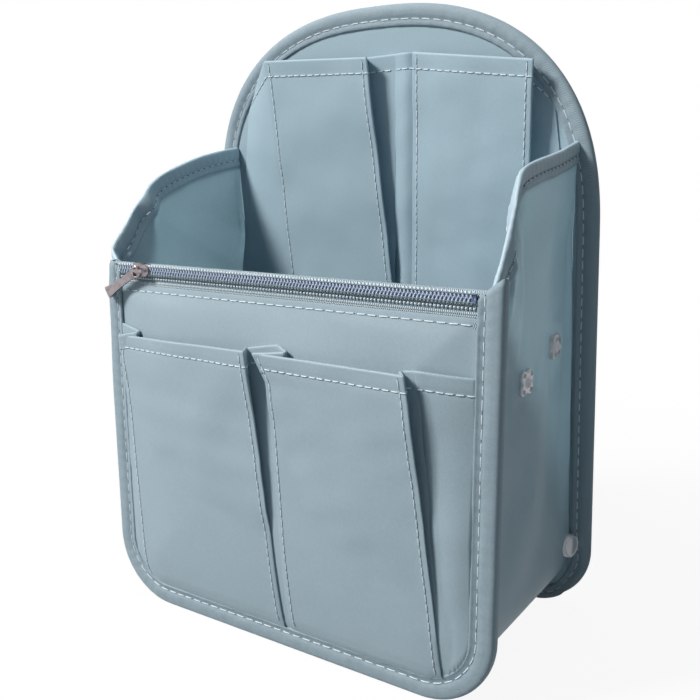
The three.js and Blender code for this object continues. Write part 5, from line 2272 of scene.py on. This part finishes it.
    def hem_surface(self, side: float) -> tuple[Surface, Surface]:
        """Folds tape over one wall's top edge.

        Args:
            side: 1 for the right wall, -1 for the left.

        Returns:
            The tape, rows along the hem and columns round its section, and the wall's surface below it.
        """
        line = self.hem_line(side, 190)
        squares = self.hem_squares(line)
        along = walked(line)
        share = self.right_share if side > 0 else self.left_share
        drops = self.hem_drops() * share
        wall = np.zeros((len(line), len(drops), 3))
        for k, drop in enumerate(drops):
            spot = line + squares * drop
            spot[:, 0] = np.clip(spot[:, 0], self.front - 1.5, self.back_face(spot[:, 1]) - 0.5)
            out = self.wall_out(side, spot[:, 0], spot[:, 1])
            wall[:, k] = np.stack([side * (self.half + out), spot[:, 0], spot[:, 1]], axis=1)
        sheet = Surface(wall)
        normals = sheet.normals()
        if float((normals[..., 0] * side).mean()) < 0:
            normals = -normals
        section = np.array(
            [[11.0, 0.3], [11.15, 0.85], [10.7, 1.3], [9.4, 1.25], [8.0, 0.75], [7.2, 0.5], [6.6, 0.7],
             [5.2, 1.15], [3.0, 1.3], [1.2, 1.15], [0.3, 0.85], [-0.25, 0.45], [-0.4, 0.0]]
        )
        loop = np.concatenate([section, (section * [1, -1])[::-1][1:]])
        loop = resample(loop, 58) * [share, 1.0]
        rows = np.zeros((len(line), len(loop), 3))
        for k, (drop, stand) in enumerate(loop):
            column = np.interp(drop, drops, np.arange(len(drops)))
            spots, _ = sheet.line(np.arange(len(line)) * 1.0, np.full(len(line), column))
            low = int(min(column, len(drops) - 1))
            uneven = ripple(along, np.full(len(along), drop), 91, 12)
            pucker = 1 + 0.05 * np.cos(2 * math.pi * along / HEM_STITCH) + 0.16 * uneven
            rows[:, k] = spots + normals[:, low] * (stand * pucker)[:, None]
        return Surface(rows), Surface(wall)

    def build_hem(self, side: float, word: str) -> None:
        """Builds one wall's hem tape and its stitches.

        Args:
            side: 1 for the right wall, -1 for the left.
            word: left or right.
        """
        tape, wall = self.hem_surface(side)
        piece = tape.build(f"gusset_hem_{word}_tape", HEM_TAPE.material(), POCKET_THICK)
        threads = Threads(pitch=HEM_STITCH, share=0.86, radius=0.32, seed=int(29 + side))
        column = np.interp(self.stitch_drop, self.hem_drops(), np.arange(self.hem_points))
        rows = np.arange(2, len(wall.points) - 2.0)
        line, square = wall.line(rows, np.full(len(rows), column))
        if float((square[:, 0] * side).mean()) < 0:
            square = -square
        threads.add(line, square, 1.0, lift=1.0)
        threads.add(line, square, -1.0, lift=0.72 if side > 0 else 0.95)
        sewn = threads.build(f"gusset_hem_{word}_stitches", SEWING_THREAD.material())
        assign([piece, sewn], "root", "binding_tape", f"gusset_hem_{word}")
        for part in (piece, sewn):
            self.squash(part)
        declare_sheet(tape)

    def build(self) -> None:
        """Builds and dresses the gusset."""
        self.build_strip()
        self.build_hem(-1.0, "left")
        self.build_hem(1.0, "right")
        LOG.info("gusset: strip, hems")


# Snaps


class SnapHalf(Enum):
    """The two halves of a sewn snap, and the plain domed back of one."""

    STUD = "stud"
    SOCKET = "socket"
    CAP = "cap"


@dataclass
class Snaps:
    """Sewn snap halves outside on the gusset: a lobed flange with sewing holes, and a stud or a socket."""

    lobe_place: float = 3.75
    lobe_radius: float = 2.75
    core: float = 3.8
    rim: float = 0.95
    hub: float = 2.6
    hub_height: float = 1.5
    stud_radius: float = 1.4
    stud_height: float = 2.6
    hole_place: float = 4.4
    hole_radius: float = 0.75
    cap_radius: float = 5.9
    # Directions of the lobes and their sewing holes, in half turns
    lobe_turns: tuple[float, ...] = (0.25, 0.75, 1.25, 1.75)
    # How far the flange's side runs down into the cloth
    skirt: float = 2.2
    turns: int = 96
    rings: int = 30
    # How far each half faces aside, and how far it stands off its CAD node's place
    turned_deg: dict[SnapHalf, float] = field(
        default_factory=lambda: {SnapHalf.SOCKET: 2.0, SnapHalf.STUD: -6.0, SnapHalf.CAP: 15.0}
    )
    raised: dict[SnapHalf, float] = field(
        default_factory=lambda: {SnapHalf.SOCKET: 0.2, SnapHalf.STUD: 0.4, SnapHalf.CAP: 1.1}
    )
    # How deep each half's base may reach, so that it stays within the cloth
    sunk: dict[SnapHalf, float] = field(
        default_factory=lambda: {SnapHalf.SOCKET: 0.42, SnapHalf.STUD: 0.42, SnapHalf.CAP: 0.9}
    )

    def height(self, radius: Array, angle: Array, kind: SnapHalf) -> Array:
        """Returns how high the snap's face stands at polar places on it.

        Args:
            radius: distance from the middle, in millimetres.
            angle: direction, in radians.
            kind: which half it is.

        Returns:
            Heights above the cloth.
        """
        if kind is SnapHalf.CAP:
            rolled = 0.45 * hill(radius, self.cap_radius - 0.7, 0.45)
            return self.rim + 0.6 * np.sqrt(np.clip(1 - (radius / self.cap_radius) ** 2, 0, 1)) + rolled
        hub = 1 - smooth_step(radius, self.hub - 0.5, self.hub + 0.3)
        body = self.rim + (self.hub_height - self.rim) * hub
        if kind is SnapHalf.STUD:
            knob = 1 - smooth_step(radius, self.stud_radius - 0.5, self.stud_radius + 0.1)
            body = body + (self.stud_height - self.hub_height) * knob
        else:
            body = body - 1.0 * (1 - smooth_step(radius, 1.6, 2.0))
        for turn in self.lobe_turns:
            x, z = self.hole_place * math.cos(turn * math.pi), self.hole_place * math.sin(turn * math.pi)
            gap = np.hypot(radius * np.cos(angle) - x, radius * np.sin(angle) - z)
            hole = 1 - smooth_step(gap, self.hole_radius * 0.6, self.hole_radius * 1.15)
            body = body - 0.9 * self.rim * hole
        return body

    def seat(self, points: Array, node: str, kind: SnapHalf) -> Array:
        """Sets a half's points in its CAD node's place, turned as the cloth there is pushed about.

        Args:
            points: height above the cloth, and distance back and up from the half's middle.
            node: the CAD node.
            kind: which half it is.

        Returns:
            The points in the drawing frame.
        """
        low, high = (np.array(corner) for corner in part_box(node))
        middle = (low + high) / 2 / MM
        face = min(low[0], high[0], key=abs) / MM
        turned = math.radians(self.turned_deg[kind])
        out = points[:, 0] * math.cos(turned) + points[:, 1] * math.sin(turned)
        ahead = points[:, 1] * math.cos(turned) - points[:, 0] * math.sin(turned)
        stand = np.maximum(out + self.raised[kind], -self.sunk[kind])
        across = face + math.copysign(1.0, face) * stand
        return np.stack([across, middle[1] + ahead, middle[2] + points[:, 2]], axis=1) - DRAWING_ORIGIN

    def flange(self, kind: SnapHalf) -> tuple[Array, list[tuple[int, ...]]]:
        """Moulds a half lying flat.

        Args:
            kind: which half it is.

        Returns:
            Vertices, as height and two distances from the middle, and faces.
        """
        angle = np.linspace(0, 2 * math.pi, self.turns, endpoint=False)
        bend = np.abs((angle % (math.pi / 2)) - math.pi / 4)
        swing = self.lobe_place * np.sin(bend)
        lobe = self.lobe_place * np.cos(bend) + np.sqrt(np.clip(self.lobe_radius**2 - swing**2, 0, None))
        edge = np.where(swing < self.lobe_radius, np.maximum(lobe, self.core), self.core)
        if kind is SnapHalf.CAP:
            edge = np.full(self.turns, self.cap_radius)
        for _ in range(3):
            edge = (np.roll(edge, 1) + 2 * edge + np.roll(edge, -1)) / 4
        share = np.linspace(0.02, 1, self.rings)
        radius = share[:, None] * edge[None]
        lift = self.height(radius, np.broadcast_to(angle, radius.shape), kind)
        lift = lift * (1 - 0.55 * smooth_step(share, 0.9, 1.0)[:, None])
        radius = np.concatenate([radius, radius[-1:]])
        lift = np.concatenate([lift, np.full((1, self.turns), -self.skirt)])
        points = np.stack([lift, radius * np.cos(angle), radius * np.sin(angle)], axis=2).reshape(-1, 3)
        faces: list[tuple[int, ...]] = []
        for start in range(0, self.rings * self.turns, self.turns):
            for k in range(self.turns):
                a, b = start + k, start + (k + 1) % self.turns
                faces.append((a, a + self.turns, b + self.turns, b))
        faces.append(tuple(range(self.turns)))
        faces.append(tuple(self.rings * self.turns + k for k in reversed(range(self.turns))))
        return points, faces

    def sewing(self, node: str, kind: SnapHalf) -> Object:
        """Sews a half on through its holes, three threads to each.

        Args:
            node: the CAD node it stands for.
            kind: which half it is.

        Returns:
            The threads.
        """
        low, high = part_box(node)
        outward = np.tile([1.0 if high.x > 0 else -1.0, 0.0, 0.0], (2, 1))
        threads = Threads(pitch=2.6, share=0.95, radius=0.28, seed=int(abs((low.y + high.y) / 2 / MM)))
        inner, outer = self.hole_place, self.lobe_place + self.lobe_radius - 0.5
        for turn in self.lobe_turns:
            for spread in (-0.16, 0.0, 0.16):
                cos, sin = math.cos(turn * math.pi + spread), math.sin(turn * math.pi + spread)
                ends = np.array([[self.rim + 0.1, inner * cos, inner * sin], [0.5, outer * cos, outer * sin]])
                threads.add(self.seat(ends, node, kind), outward, lift=0.1)
        return threads.build(node + "_threads", SEWING_THREAD.material(), hole_shade=False)

    def build_half(self, node: str, body: str, kind: SnapHalf) -> None:
        """Moulds one snap half in its CAD node's place and sews it on.

        Args:
            node: the CAD node it stands for.
            body: the body it moves with.
            kind: which half it is.
        """
        points, faces = self.flange(kind)
        placed = self.seat(points, node, kind)
        pieces = [make_piece(node + "_resin", placed, faces, SNAP_RESIN.material(), crease=42)]
        if kind is not SnapHalf.CAP:
            pieces.append(self.sewing(node, kind))
        assign(pieces, body, "snap_plastic", node)

    def build(self) -> None:
        """Builds every snap half."""
        sets = (
            ("snap_socket_front", "front_snaps", SnapHalf.SOCKET),
            ("snap_stud_middle", "middle_snaps", SnapHalf.STUD),
            ("snap_stud_rear", "root", SnapHalf.CAP),
        )
        for stem, body, kind in sets:
            for word in ("left", "right"):
                self.build_half(f"{stem}_{word}", body, kind)
        LOG.info("snaps: six halves")


def main() -> None:
    """Builds the studio and the organizer's sub-assemblies in order."""
    logging.basicConfig(level=logging.INFO, format="%(name)s: %(message)s")
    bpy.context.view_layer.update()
    Studio().build()
    front, back = FrontPanel(), BackPanel()
    front.build()
    Zipper().build()
    FrontPockets(panel=front).build()
    back.build()
    BackPockets(panel=back).build()
    Gusset(panel=back).build()
    Snaps().build()


if __name__ == "__main__":
    main()
